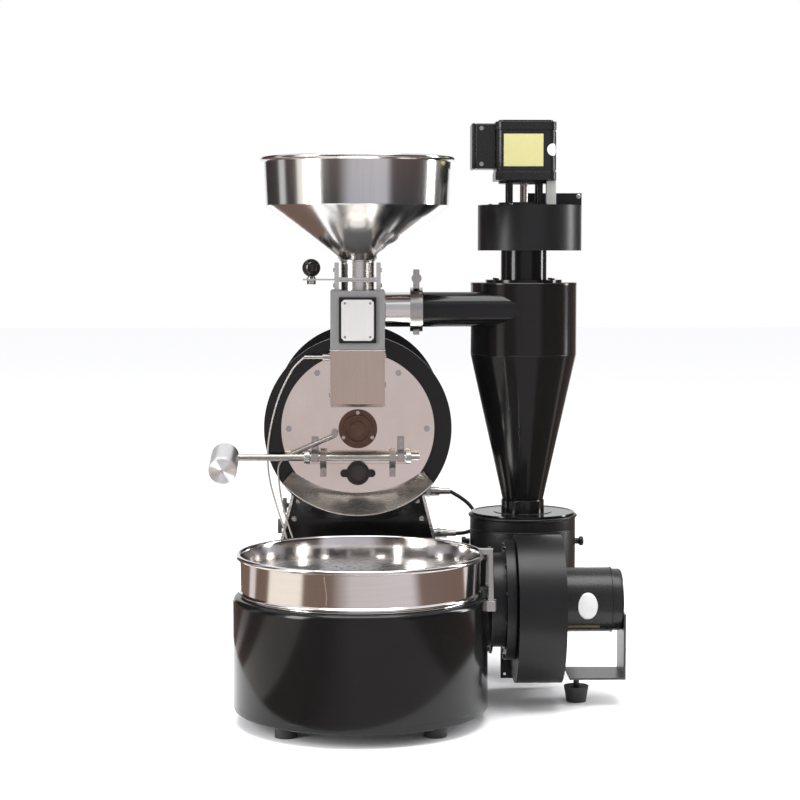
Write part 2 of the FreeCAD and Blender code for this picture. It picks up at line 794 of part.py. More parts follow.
strap_outline = [
    (DOOR_FRONT, "strap_foot"), (DOOR_FRONT + " - strap_thick", "strap_foot"),
    (DOOR_FRONT + " - strap_thick", HINGE_Z + " - 2 * strap_eye"),
    ("-hinge_reach - strap_eye", HINGE_Z + " - strap_eye / 2"),
    ("-hinge_reach - strap_eye", HINGE_Z + " + strap_eye / 2"),
    ("-hinge_reach + strap_eye / 2", HINGE_Z + " + strap_eye"),
    (DOOR_FRONT, "axis_height - door_drop")]
shaft_length = "weight_place + door_shaft_end"
shaft_start = ("-weight_place", "-hinge_reach", HINGE_Z)
cylinder("door_shaft", "door_shaft_radius", shaft_length, shaft_start, "X")
straps = []
for side in (-1, 1):
    blank = padded(f"strap_plate_{side + 1}", strap_outline, "strap_width",
                   (f"{side} * strap_spacing - strap_width / 2", "0", "0"), SIDEWAYS)
    rivets = bolt_heads(f"strap_bolt_{side + 1}", [
        (f"{side} * strap_spacing", DOOR_FRONT + " - strap_thick",
         f"strap_foot + {rise} * small_bolt_radius") for rise in (1.5, 4)],
        "-Y", "small_bolt_radius", "small_bolt_height")
    straps.append(cut(f"strap_{side + 1}", joined(f"strap_blank_{side + 1}", [blank] + rivets),
                      cylinder(f"strap_hole_{side + 1}", "door_shaft_radius", shaft_length,
                               shaft_start, "X")))
group("door_straps", straps)

bracket_outline = [
    ("0", "bracket_foot"), ("0", "bracket_top"), ("-bracket_thick", "bracket_top"),
    ("-bracket_thick", HINGE_Z + " + strap_eye"),
    ("-hinge_reach - strap_eye", HINGE_Z + " + strap_eye * 0.7"),
    ("-hinge_reach - strap_eye", HINGE_Z + " - strap_eye * 0.7"),
    ("-bracket_thick", "bracket_foot")]
brackets = []
for side in (-1, 1):
    blank = padded(f"bracket_plate_{side + 1}", bracket_outline, "bracket_width",
                   (f"{side} * bracket_spacing - bracket_width / 2", "0", "0"), SIDEWAYS)
    brackets.append(cut(f"bracket_{side + 1}", blank, cylinder(
        f"bracket_hole_{side + 1}", "door_shaft_radius + running_gap", shaft_length,
        shaft_start, "X")))
group("hinge_brackets", brackets)

WEIGHT_TURN = Rotation(Vector(1, 0, 0), 90 + SIZES["weight_tilt"])
cut("counterweight", cylinder("weight_bar", "weight_radius", "weight_length", (
    "-weight_place", "-hinge_reach + weight_bore_inset * cos(weight_tilt)",
    HINGE_Z + " + weight_bore_inset * sin(weight_tilt)"), WEIGHT_TURN),
    cylinder("weight_hole", "door_shaft_radius", shaft_length, shaft_start, "X"))


def shaped(name, shape):
    """A piece whose shape is made straight from the sizes, put with the others."""
    obj = doc.addObject("Part::Feature", name)
    obj.Shape = shape
    return place(obj, ("0", "0", "0"), "Z")


def scoop_edge(half, side, drop, depth):
    """A closed strip along an arc under the drum's axis, one sheet thick."""
    axis, wall = SIZES["axis_height"], SIZES["bib_wall"]
    rise = drop - side
    radius = (half ** 2 + rise ** 2) / (2 * rise)
    centre = Vector(0, depth, axis - drop + radius)
    inner = [Vector(-half, depth, axis - side), Vector(0, depth, axis - drop),
             Vector(half, depth, axis - side)]
    outer = [centre + (p - centre) * ((radius + wall) / radius) for p in inner]
    return Part.Wire([Part.Arc(*inner).toShape(), Part.LineSegment(inner[2], outer[2]).toShape(),
                      Part.Arc(*reversed(outer)).toShape(),
                      Part.LineSegment(outer[0], inner[0]).toShape()])


shaped("discharge_bib", Part.makeLoft([
    scoop_edge(SIZES["bib_back_half"], SIZES["bib_back_side"], SIZES["bib_back_drop"], 0),
    scoop_edge(SIZES["bib_front_half"], SIZES["bib_front_side"], SIZES["bib_front_drop"],
               -SIZES["bib_reach"])], True, True))

# Chute box, lower chute and the plate's frame
BOX_FOOT = "axis_height + ring_radius + ring_air_gap"
chute_outside = padded("chute_outside", [
    ("-chute_reach", "chute_split"), ("0", "chute_split"), ("0", BOX_FOOT),
    ("chute_back", BOX_FOOT), ("chute_back", "chute_top"), ("-chute_reach", "chute_top")],
    "2 * chute_half", ("-chute_half", "0", "0"), SIDEWAYS)
chute_inside = padded("chute_inside", [
    ("-chute_reach + chute_wall", "chute_split - chute_wall"),
    ("-chute_wall", "chute_split - chute_wall"), ("-chute_wall", BOX_FOOT + " + chute_wall"),
    ("chute_back - chute_wall", BOX_FOOT + " + chute_wall"),
    ("chute_back - chute_wall", "chute_top - chute_wall"),
    ("-chute_reach + chute_wall", "chute_top - chute_wall")],
    "2 * (chute_half - chute_wall)", ("chute_wall - chute_half", "0", "0"), SIDEWAYS)
chute_shell = cut(
    "chute_shell", chute_outside, chute_inside,
    cylinder("chute_mouth", "neck_radius - neck_wall", "2 * chute_wall",
             ("0", "-hopper_depth", "chute_top - 2 * chute_wall")),
    cylinder("chute_vent", "duct_radius - duct_wall", "chute_half",
             ("0", "duct_depth", "duct_height"), "X"))
CLAMP_MIDDLE = "(stub_end + clamp_width / 2)"
joined("chute_box", [chute_shell, tube(
    "chaff_stub", "duct_radius", "duct_radius - duct_wall", CLAMP_MIDDLE + " - chute_half",
    ("chute_half", "duct_depth", "duct_height"), "X")])

CHUTE_BACK_FOOT = "axis_height + flange_radius + chute_bearing_gap"
lower_outside = padded("lower_chute_outside", [
    ("-chute_reach", "chute_split"), ("-chute_reach", "chute_front_foot"),
    ("0", CHUTE_BACK_FOOT), ("0", "chute_split")],
    "2 * chute_half", ("-chute_half", "0", "0"), SIDEWAYS)
lower_inside = padded("lower_chute_inside", [
    ("-chute_reach + chute_wall", "chute_split"),
    ("-chute_reach + chute_wall", "chute_front_foot + chute_wall"),
    ("0", CHUTE_BACK_FOOT + " + chute_wall"), ("0", "chute_split")],
    "2 * (chute_half - chute_wall)", ("chute_wall - chute_half", "0", "0"), SIDEWAYS)
cut("lower_chute", lower_outside, lower_inside)

cut("nameplate_frame",
    block("frame_outside", ("name_frame_width", "name_frame_thick", "name_frame_height"),
          ("-name_frame_width / 2", "-chute_reach - name_frame_thick",
           "name_centre - name_frame_height / 2")),
    block("frame_recess", ("name_frame_width - 2 * name_frame_thick", "name_frame_thick / 2",
                           "name_frame_height - 2 * name_frame_thick"),
          ("name_frame_thick - name_frame_width / 2", "-chute_reach - name_frame_thick",
           "name_centre + name_frame_thick - name_frame_height / 2")))

# Hopper, neck and slide gate
spun("hopper_bowl", [
    ("neck_radius", "neck_top"), ("cone_radius", "cone_top"),
    ("hopper_radius", "hopper_top - rim_height"),
    ("rim_radius", "hopper_top - rim_height", "rim_round"),
    ("rim_radius", "hopper_top", "rim_round"), ("hopper_radius - hopper_wall", "hopper_top"),
    ("cone_radius - hopper_wall", "cone_top + hopper_wall"),
    ("neck_radius - neck_wall", "neck_top")], ("0", "-hopper_depth", "0"))

GATE_FLOOR = "(gate_height - seat_gap)"
GATE_ROOF = "(gate_height + gate_thick + seat_gap)"
COLLAR_LOW = ("-guide_inner", "-hopper_depth - guide_half")
COLLAR_SIZE = ("2 * guide_inner", "2 * guide_half", "collar_thick")
neck_pieces = [
    cylinder("neck_lower", "neck_radius", GATE_FLOOR + " - chute_top",
             ("0", "-hopper_depth", "chute_top")),
    cylinder("neck_upper", "neck_radius", "neck_top - " + GATE_ROOF,
             ("0", "-hopper_depth", GATE_ROOF)),
    block("collar_lower", COLLAR_SIZE, COLLAR_LOW + (GATE_FLOOR + " - collar_thick",)),
    block("collar_upper", COLLAR_SIZE, COLLAR_LOW + (GATE_ROOF,))]
for side, start in ((0, "-guide_inner - guide_thick"), (1, "guide_inner")):
    neck_pieces.append(block(f"guide_{side}", (
        "guide_thick", "2 * guide_half", "guide_top - chute_top"),
        (start, "-hopper_depth - guide_half", "chute_top")))
cut("hopper_neck", joined("neck_blank", neck_pieces),
    cylinder("neck_bore", "neck_radius - neck_wall", "neck_top - chute_top",
             ("0", "-hopper_depth", "chute_top")),
    block("gate_slot", ("gate_left + gate_right + seat_gap", "2 * (gate_half + seat_gap)",
                        "gate_thick + 2 * seat_gap"),
          ("-gate_left", "-hopper_depth - gate_half - seat_gap", GATE_FLOOR)))
GATE_HOLE = ("-knob_place", "-hopper_depth", "gate_height")
cut("hopper_gate",
    block("gate_plate", ("gate_left + gate_right", "2 * gate_half", "gate_thick"),
          ("-gate_left", "-hopper_depth - gate_half", "gate_height")),
    cylinder("gate_stud_hole", "knob_stud_radius", "gate_thick", GATE_HOLE))
joined("gate_knob", [
    ball("knob_ball", "knob_radius", ("-knob_place", "-hopper_depth", "knob_height")),
    cylinder("knob_collar", "knob_nut_radius", "knob_height - gate_height - gate_thick",
             ("-knob_place", "-hopper_depth", "gate_height + gate_thick")),
    cylinder("knob_stud", "knob_stud_radius", "knob_nut_height + gate_thick",
             ("-knob_place", "-hopper_depth", "gate_height - knob_nut_height")),
    hexagon("knob_nut", "knob_nut_radius", "knob_nut_height",
            ("-knob_place", "-hopper_depth", "gate_height - knob_nut_height"))])

# Chaff duct with its clamp
cut("duct_pipe",
    tube("duct_tube", "duct_radius", "duct_radius - duct_wall",
         "cyclone_place - " + CLAMP_MIDDLE, (CLAMP_MIDDLE, "duct_depth", "duct_height"), "X"),
    cylinder("duct_pipe_end", "cyclone_radius", "cyclone_top - cyclone_shoulder",
             ("cyclone_place", "cyclone_depth", "cyclone_shoulder")))
WING_Z = "(duct_height + clamp_radius + wing_span / 2 + seat_gap)"
WING_STUD = "wing_radius / 2 + wing_height + seat_gap"
LUG_FRONT = "duct_depth - clamp_width / 2"
cut("pipe_clamp",
    joined("clamp_blank", [
        cylinder("clamp_ring", "clamp_radius", "clamp_width",
                 ("stub_end", "duct_depth", "duct_height"), "X"),
        block("clamp_lug_top", ("clamp_width / 2", "clamp_width", "clamp_radius / 2 + wing_span"),
              ("stub_end + clamp_width / 4", LUG_FRONT, "duct_height + clamp_radius / 2")),
        block("clamp_lug_low", ("clamp_width / 2", "clamp_width", "clamp_radius / 2"),
              ("stub_end + clamp_width / 4", LUG_FRONT,
               "duct_height - clamp_radius - clamp_width / 4")),
        cylinder("clamp_stud", "wing_radius", WING_STUD,
                 (CLAMP_MIDDLE, LUG_FRONT, WING_Z), "-Y")]),
    cylinder("clamp_bore", "duct_radius", "clamp_width",
             ("stub_end", "duct_depth", "duct_height"), "X"))
WING_BACK = LUG_FRONT + " - seat_gap"
cut("wing_nut",
    joined("wing_blank", [
        cylinder("wing_hub", "wing_radius * 1.8", "wing_height",
                 (CLAMP_MIDDLE, WING_BACK, WING_Z), "-Y"),
        block("wing_blades", ("wing_radius", "wing_height * 0.7", "wing_span"),
              (CLAMP_MIDDLE + " - wing_radius / 2", WING_BACK + " - wing_height",
               WING_Z + " - wing_span / 2"))]),
    cylinder("wing_bore", "wing_radius + running_gap", "wing_height",
             (CLAMP_MIDDLE, WING_BACK, WING_Z), "-Y"))


# Cyclone, exhaust fan and chaff can
def scroll_face(radius, growth, throat, reach, inset):
    """A fan casing's outline: a spiral of three quarter turns, then its outlet."""
    def spiral(angle):
        size = radius - inset + growth * (angle - 90) / 270
        turn = math.radians(angle)
        return Vector(size * math.cos(turn), size * math.sin(turn), 0)

    edges = [Part.Arc(spiral(a), spiral(a + 45), spiral(a + 90)).toShape() for a in (90, 180, 270)]
    corners = [spiral(360), Vector(spiral(360).x, reach, 0), Vector(throat + inset, reach, 0),
               spiral(90)]
    edges += [Part.LineSegment(*pair).toShape() for pair in zip(corners, corners[1:])]
    return Part.Face(Part.Wire(edges))


def fan_casing(name, radius, growth, throat, reach, width, at, turn):
    """A hollow scroll, open at its outlet."""
    wall = SIZES["fan_wall"]
    outside = scroll_face(radius, growth, throat, reach, 0).extrude(Vector(0, 0, width))
    inside = scroll_face(radius, growth, throat, reach, wall)
    inside = inside.extrude(Vector(0, 0, width - 2 * wall))
    inside.translate(Vector(0, 0, wall))
    outlet = Part.makeBox(radius + growth - throat - 2 * wall, wall * 4, width - 2 * wall,
                          Vector(throat + wall, reach - wall * 2, wall))
    obj = doc.addObject("Part::Feature", name)
    obj.Shape = outside.cut(inside.fuse(outlet))
    return place(obj, at, turn)


def fan_wheel(name, radius, width, shaft_length, at, axis, turn):
    """A backplate with blades and a shaft that starts at the motor's face."""
    tip = tuple(at)
    index = "XYZ".index(axis[-1])
    sign = "-" if axis.startswith("-") else ""

    def along(distance):
        moved = list(tip)
        moved[index] = f"{moved[index]} + {sign}1 * ({distance})"
        return tuple(moved)

    plate = along(f"{shaft_length} - fan_wall")
    pieces = [cylinder(name + "_shaft", "fan_shaft_radius", f"{shaft_length} + {width} / 2", at, axis),
              cylinder(name + "_plate", radius, "fan_wall", plate, axis)]
    for n in range(BLADES):
        spin = Rotation(Vector(0, 0, 1), 360 * n / BLADES)
        pieces.append(block(f"{name}_blade_{n}", (f"{radius} * 0.45", "fan_wall", width), plate,
                            turn.multiply(spin)))
        start = Vector(1, 0, 0)
        start = turn.multVec(spin.multVec(start))
        for letter, part, middle, where in zip("xyz", start, middles, plate):
            pieces[-1].setExpression("Placement.Base." + letter, sized(
                f"{where} - ({middle}) + {part:.6f} * {radius} * 0.55"))
    pieces.append(cut(name + "_rim", cylinder(name + "_rim_disc", radius, "fan_wall",
                                              along(f"{shaft_length} - fan_wall + {width}"), axis),
                      cylinder(name + "_rim_hole", f"{radius} * 0.8", "fan_wall",
                               along(f"{shaft_length} - fan_wall + {width}"), axis)))
    return joined(name, pieces)


def flange_holes(name, low, size, inset):
    """Four holes through an upright plate, near its corners."""
    return [cylinder(f"{name}_{n}", "flange_hole", size[1],
                     (f"{low[0]} + {size[0]} * {right} + {inset} * {1 - 2 * right}", low[1],
                      f"{low[2]} + ({size[2]}) * {top} + {inset} * {1 - 2 * top}"), "Y")
            for n, (right, top) in enumerate(((0, 0), (1, 0), (0, 1), (1, 1)))]


def at_cyclone(height):
    return ("cyclone_place", "cyclone_depth", height)


cyclone_wall = spun("cyclone_wall_body", [
    ("outlet_radius", LID_TOP), ("outlet_radius", "cyclone_waist"),
    ("cyclone_radius", "cyclone_shoulder"), ("cyclone_radius", "cyclone_top"),
    ("vortex_radius", "cyclone_top"), ("vortex_radius", "cyclone_top - cyclone_wall"),
    ("cyclone_radius - cyclone_wall", "cyclone_top - cyclone_wall"),
    ("cyclone_radius - cyclone_wall", "cyclone_shoulder"),
    ("outlet_radius - cyclone_wall", "cyclone_waist"),
    ("outlet_radius - cyclone_wall", LID_TOP)], at_cyclone("0"))
cut("cyclone_body", cyclone_wall,
    cylinder("cyclone_inlet", "duct_radius - duct_wall", "cyclone_place - " + CLAMP_MIDDLE,
             (CLAMP_MIDDLE, "duct_depth", "duct_height"), "X"))
TOP_PLATE = "cyclone_top + top_plate_thick"
neck_turned = spun("exhaust_neck_body", [
    ("vortex_radius", "cyclone_top"), ("top_plate_radius", "cyclone_top"),
    ("top_plate_radius", TOP_PLATE), ("exhaust_neck_radius", TOP_PLATE),
    ("exhaust_neck_radius", "exhaust_base"), ("vortex_radius", "exhaust_base")], at_cyclone("0"))
joined("exhaust_neck", [neck_turned] + bolt_heads("neck_bolt", ring_places(
    at_cyclone(TOP_PLATE), "(top_plate_radius - bolt_radius * 2)", range(30, 390, 60), "XY"),
    "Z", "small_bolt_radius", "small_bolt_height"))

exhaust_case = fan_casing("exhaust_case", SIZES["exhaust_radius"], SIZES["exhaust_growth"],
                          SIZES["exhaust_throat"], SIZES["exhaust_outlet_back"],
                          SIZES["exhaust_height"], at_cyclone("exhaust_base"), "Z")
EXHAUST_REACH = "(exhaust_radius + exhaust_growth)"
EXHAUST_FLANGE_SIZE = ("(" + EXHAUST_REACH + " - exhaust_throat + 2 * exhaust_flange_border)",
                       "flange_plate", "exhaust_flange_top - exhaust_base")
EXHAUST_FLANGE_LOW = ("cyclone_place + exhaust_throat - exhaust_flange_border",
                      "cyclone_depth + exhaust_outlet_back - flange_plate", "exhaust_base")
exhaust_flange = cut(
    "exhaust_flange",
    block("exhaust_flange_plate", EXHAUST_FLANGE_SIZE, EXHAUST_FLANGE_LOW),
    *flange_holes("exhaust_flange_bolt", EXHAUST_FLANGE_LOW, EXHAUST_FLANGE_SIZE,
                  "exhaust_hole_inset"),
    block("exhaust_flange_hole",
          (EXHAUST_REACH + " - exhaust_throat - 2 * fan_wall", "flange_plate",
           "exhaust_height - 2 * fan_wall"),
          ("cyclone_place + exhaust_throat + fan_wall",
           "cyclone_depth + exhaust_outlet_back - flange_plate", "exhaust_base + fan_wall")))
cut("exhaust_volute", joined("exhaust_blank", [exhaust_case, exhaust_flange]),
    cylinder("exhaust_eye", "vortex_radius", "fan_wall", at_cyclone("exhaust_base")),
    cylinder("exhaust_shaft_hole", "fan_shaft_radius + fan_wall", "fan_wall",
             at_cyclone(EXHAUST_TOP + " - fan_wall")))
fan_wheel("exhaust_impeller", "exhaust_wheel_radius", "exhaust_wheel_width",
          "(lantern_height + 3 * fan_wall)", at_cyclone(MOTOR_BASE + " - seat_gap"), "-Z",
          Rotation(Vector(1, 0, 0), 180))
LANTERN_BORE = "lantern_radius - post_radius * 3.5"
lantern_pieces = [
    tube("lantern_low", "lantern_radius", LANTERN_BORE, "lantern_ring", at_cyclone(EXHAUST_TOP)),
    tube("lantern_high", "lantern_radius", LANTERN_BORE, "lantern_ring",
         at_cyclone(MOTOR_BASE + " - lantern_ring"))]
for n, where in enumerate(ring_places(at_cyclone(EXHAUST_TOP), "post_ring", (45, 135, 225, 315), "XY")):
    lantern_pieces.append(cylinder(f"lantern_post_{n}", "post_radius", "lantern_height", where))
joined("motor_lantern", lantern_pieces)

HALF = "motor_width / 2"
motor_block = padded("motor_block", [
    ("-" + HALF, "-" + HALF, "motor_round"), (HALF, "-" + HALF, "motor_round"),
    (HALF, HALF, "motor_round"), ("-" + HALF, HALF, "motor_round")],
    "motor_height", at_cyclone(MOTOR_BASE))
BOX_LEFT = "cyclone_place - motor_width / 2 - box_reach"
BOX_RIGHT = "cyclone_place - motor_width / 2 + fan_wall"
BOX_BASE = MOTOR_BASE + " + box_lift"
terminal_box = padded("terminal_box", [
    (BOX_LEFT, BOX_BASE, "box_round"), (BOX_RIGHT, BOX_BASE),
    (BOX_RIGHT, BOX_BASE + " + box_height"), (BOX_LEFT, BOX_BASE + " + box_height", "box_round")],
    "2 * box_half", ("0", "cyclone_depth + box_half", "0"), FRONTWAYS)
joined("exhaust_motor", [motor_block, terminal_box])

can_pieces = [spun("can_turned", [
    ("0", "can_base"), ("can_radius", "can_base"), ("can_radius", "can_top - bead_height"),
    ("bead_radius", "can_top - bead_height"), ("bead_radius", "can_top"), ("can_lip", "can_top"),
    ("can_lip", "can_top - can_wall"), ("can_radius - can_wall", "can_top - can_wall"),
    ("can_radius - can_wall", "can_base + can_wall"), ("0", "can_base + can_wall")],
    at_cyclone("0"))]
for side, axis in ((-1, "-X"), (1, "X")):
    can_pieces.append(cylinder(
        f"can_knob_{side + 1}", "can_knob_radius", "can_knob_reach + can_wall",
        (f"cyclone_place + {side} * (can_radius - can_wall / 2)", "cyclone_depth",
         "can_knob_height"), axis))
joined("chaff_can", can_pieces)
LID_HOLE = "outlet_radius - cyclone_wall"
spun("can_lid", [
    (LID_HOLE, "can_top"), ("lid_radius", "can_top"), ("lid_radius", LID_TOP),
    ("outlet_radius + seat_gap + collar_wall", LID_TOP),
    ("outlet_radius + seat_gap + collar_wall", LID_TOP + " + collar_height"),
    ("outlet_radius + seat_gap", LID_TOP + " + collar_height"),
    ("outlet_radius + seat_gap", LID_TOP), (LID_HOLE, LID_TOP)], at_cyclone("0"))


# Stand, burner and the pieces on the stand
def half_at(height, inset="0"):
    """Half the stand's width at a height, less an inset."""
    return f"stand_floor_half - stand_slope * ({height}) - ({inset})"


def trapezoid(low, high, inset):
    return [("-(" + half_at(low, inset) + ")", low), (half_at(low, inset), low),
            (half_at(high, inset), high), ("-(" + half_at(high, inset) + ")", high)]


INNER_TOP = "stand_top + panel_thick"
cabinet = cut(
    "cabinet_open",
    padded("cabinet_outside", trapezoid("stand_base", "stand_top", "cover_width"),
           "stand_length", ("0", STAND_BACK, "0"), FRONTWAYS),
    padded("cabinet_inside", trapezoid("stand_base + panel_thick", INNER_TOP,
                                       "cover_width + panel_thick"),
           "stand_length - 2 * panel_thick", ("0", STAND_BACK + " - panel_thick", "0"), FRONTWAYS))
cut("stand_cabinet", cabinet,
    cylinder("cabinet_cradle", "shell_radius", "stand_length",
             ("0", "stand_front", "axis_height"), "Y"),
    cylinder("cabinet_shaft_hole", "drive_shaft_radius + panel_thick", "panel_thick",
             ("0", STAND_BACK + " - panel_thick", "drive_height"), "Y"))
covers = []
for side in (-1, 1):
    corners = [(half_at("stand_base", "cover_width"), "stand_base"),
               (half_at("stand_base"), "stand_base"), (half_at("stand_top"), "stand_top"),
               (half_at("stand_top", "cover_width"), "stand_top")]
    corners = [(f"{side} * ({across})", height) for across, height in corners]
    covers.append(padded(f"side_cover_{side + 1}", corners, "stand_length",
                         ("0", STAND_BACK, "0"), FRONTWAYS))
group("side_covers", covers)

feet = [cylinder(f"stand_foot_{n}", "foot_radius", "stand_base",
                 (f"{side} * foot_spread", depth, "0"))
        for n, (side, depth) in enumerate((side, depth) for side in (-1, 1)
                                          for depth in ("stand_front + foot_inset",
                                                        STAND_BACK + " - foot_inset"))]
feet += [cylinder(f"bin_foot_{n}", "foot_radius", "bin_base", where)
         for n, where in enumerate(ring_places(("bin_place", "-bin_depth", "0"), "bin_foot_ring",
                                               (45, 135, 225, 315), "XY"))]
pad_foot = spun("levelling_pad", [
    ("0", "0"), ("pad_foot_radius", "0"), ("pad_radius", "pad_height"),
    ("stud_radius", "pad_height"), ("stud_radius", "mount_height"), ("0", "mount_height")],
    ("stud_place", "-blower_depth", "0"))
group("rubber_feet", feet + [pad_foot])

burner_front = "stand_front + panel_thick"
burner_pieces = [block(
    "burner_manifold", ("2 * burner_spacing + 4 * burner_radius", "manifold_depth",
                        "2 * burner_radius"),
    ("-burner_spacing - 2 * burner_radius", burner_front, "burner_height - burner_radius"))]
burner_pieces += [cylinder(f"burner_{n}", "burner_radius", "burner_length + manifold_depth",
                           (f"{n - 1} * burner_spacing", burner_front, "burner_height"), "Y")
                  for n in range(3)]
joined("burner_tubes", burner_pieces)

stand_solid = padded("stand_solid", trapezoid("stand_base", "stand_top", "0"),
                     "stand_length", ("0", STAND_BACK, "0"), FRONTWAYS)
for label, height in (("burner_knob", "burner_knob_height"), ("air_knob", "air_knob_height")):
    side_x = "-(" + half_at(height + " - control_radius") + ")"
    joined(label, [
        cylinder(label + "_grip", "control_radius", "control_length",
                 (side_x + " - control_stem_length", "control_depth", height), "-X"),
        cylinder(label + "_stem", "control_stem_radius",
                 f"control_stem_length + ({half_at(height + ' - control_radius')}) "
                 f"- ({half_at(height + ' - control_stem_radius')}) - seat_gap",
                 (side_x + " - control_stem_length", "control_depth", height), "X")])

fittings = []
for label, height, end in (("upper", "gas_upper_height", "gas_upper_end"),
                           ("lower", "gas_lower_height", "gas_lower_end")):
    start = half_at(height + " + fitting_radius")
    fittings.append(cut(f"{label}_fitting", joined(f"{label}_fitting_blank", [
        cylinder(f"{label}_body", "fitting_radius", f"({end} - ({start})) * 0.6",
                 (start, "gas_depth", height), "X"),
        cylinder(f"{label}_barb", "fitting_radius * 0.7", f"{end} - ({start})",
                 (start, "gas_depth", height), "X")]), stand_solid))
group("gas_fittings", fittings)


def flexible(name, radius, route):
    """A cord's tube: straight runs joined by arcs as large as the runs allow."""
    points = [Vector(*p) for p in route]
    edges, start, tightest = [], points[0], None
    for before, corner, after in zip(points, points[1:], points[2:]):
        into, out = (before - corner), (after - corner)
        half_turn = (math.pi - into.getAngle(out)) / 2
        bend = 0.45 * min(into.Length, out.Length) / math.tan(half_turn)
        tightest = min(bend, tightest or bend)
        reach = bend * math.tan(half_turn)
        into, out = into.normalize(), out.normalize()
        first, last = corner + into * reach, corner + out * reach
        middle = (into + out).normalize()
        middle = corner + middle * (bend / math.cos(half_turn) - bend)
        edges += [Part.LineSegment(start, first).toShape(), Part.Arc(first, middle, last).toShape()]
        start = last
    edges.append(Part.LineSegment(start, points[-1]).toShape())
    path = Part.Wire(edges)
    ring = Part.Wire(Part.Circle(points[0], points[1] - points[0], radius).toShape())
    solid = path.makePipeShell([ring], True, True)
    share = solid.Volume / (math.pi * radius ** 2 * path.Length)
    print(f"{name}: {path.Length:.1f} mm long, tightest bend {tightest:.1f} mm, volume {share:.4f}")
    return shaped(name, solid)


# Gas hose between its fittings, and the probes' cables, each from end to end
flexible("gas_hose", SIZES["hose_radius"], [
    (SIZES["gas_upper_end"], SIZES["gas_depth"], SIZES["gas_upper_height"]),
    (161, SIZES["gas_depth"], 255), (177, SIZES["gas_depth"], 239),
    (184, SIZES["gas_depth"], 218), (172, SIZES["gas_depth"], 200.8),
    (SIZES["gas_lower_end"], SIZES["gas_depth"], SIZES["gas_lower_height"])])
PROBE_HEIGHT = SIZES["axis_height"] + SIZES["probe_rise"]
flexible("cable_upper", SIZES["cable_radius"], [
    (-SIZES["probe_end"], -SIZES["probe_depth"], PROBE_HEIGHT),
    (-89, -36, 472), (-97.5, -32, 458), (-106, -27, 442), (-113, -22, 426), (-119, -17, 408),
    (-126, -12, 380), (-131, -9, 345), (-129, -7, 305), (-117, -5, 262), (-106, -2, 228),
    (-100, 0, 200), (-98, 7, 186),
    (-SIZES["upper_gland"], SIZES["stand_front"] - SIZES["gland_length"], SIZES["gland_height"])])
SHEATH_END_HEIGHT = (SIZES["axis_height"] - SIZES["boss_drop"] - SIZES["sheath_drop"]
                     + SIZES["sheath_lift"])
flexible("cable_lower", SIZES["cable_radius"], [
    (-SIZES["sheath_end"], -SIZES["sheath_depth"], SHEATH_END_HEIGHT),
    (-109, -12, 335), (-116, -10, 322), (-114.5, -8, 303), (-112.5, -7, 284), (-108, -6, 262),
    (-101.5, -4, 238), (-94, -2, 216), (-88, 0, 197), (-86, 7, 185),
    (-SIZES["lower_gland"], SIZES["stand_front"] - SIZES["gland_length"], SIZES["gland_height"])])

SHEATH_TOP = "(boss_height + sheath_lift)"
SHEATH_FALL = math.atan2(SIZES["sheath_drop"], SIZES["sheath_end"] - SIZES["boss_place"])
fitting_pieces = [
    joined("upper_probe", [
        cylinder("upper_probe_nut", "probe_nut_radius", "probe_nut_end - chute_half",
                 ("-chute_half", "-probe_depth", "probe_height"), "-X"),
        cylinder("upper_probe_sleeve", "sleeve_radius", "probe_end - chute_half",
                 ("-chute_half", "-probe_depth", "probe_height"), "-X")]),
    joined("lower_probe", [
        cylinder("lower_probe_boss", "boss_radius", "boss_length",
                 ("-boss_place", "0", "boss_height"), "-Y"),
        cylinder("lower_probe_sheath", "sheath_radius",
                 "sqrt((sheath_end - boss_place)^2 + sheath_drop^2)",
                 ("-boss_place", "-sheath_depth", SHEATH_TOP),
                 Rotation(Vector(0, 1, 0), -90 - math.degrees(SHEATH_FALL)))])]
fitting_pieces += [cylinder(f"{gland}_nut", "gland_radius", "gland_length",
                            (f"-{gland}", "stand_front", "gland_height"), "-Y")
                   for gland in ("upper_gland", "lower_gland")]
group("cable_fittings", fitting_pieces)

# Cooling bin, bowl and sieve
BIN_CENTRE = ("bin_place", "-bin_depth", "0")
BIN_SOLID = ("bin_radius", "bin_top - bin_base", ("bin_place", "-bin_depth", "bin_base"))
THROAT_AT = ("bin_place", "-blower_depth", "throat_height")
bin_turned = spun("bin_turned", [
    ("0", "bin_base"), ("bin_radius", "bin_base"), ("bin_radius", "bin_top", "bin_round"),
    ("bin_mouth", "bin_top"), ("bin_mouth", "bin_top - bin_wall"),
    ("bin_radius - bin_wall", "bin_top - bin_wall", "bin_round - bin_wall"),
    ("bin_radius - bin_wall", "bin_base + bin_wall"), ("0", "bin_base + bin_wall")], BIN_CENTRE)
bin_open = cut("bin_open", bin_turned, cylinder(
    "bin_throat_hole", "throat_radius - bin_wall", "bin_radius", THROAT_AT, "X"))

LEDGE = "bowl_foot_radius - bowl_wall - ledge_width"
spun("cooling_bowl", [
    ("bowl_foot_radius", "bin_top"), ("bowl_radius", "bowl_top - bowl_rim_height"),
    ("bowl_rim_radius", "bowl_top - bowl_rim_height", "rim_round"),
    ("bowl_rim_radius", "bowl_top", "rim_round"), ("bowl_radius - bowl_wall", "bowl_top"),
    ("bowl_foot_radius - bowl_wall", "sieve_height"), (LEDGE, "sieve_height"),
    (LEDGE, "sieve_height - sieve_thick"), ("bowl_foot_radius - bowl_wall",
                                            "sieve_height - sieve_thick"),
    ("bowl_foot_radius - bowl_wall", "bin_top")], BIN_CENTRE)

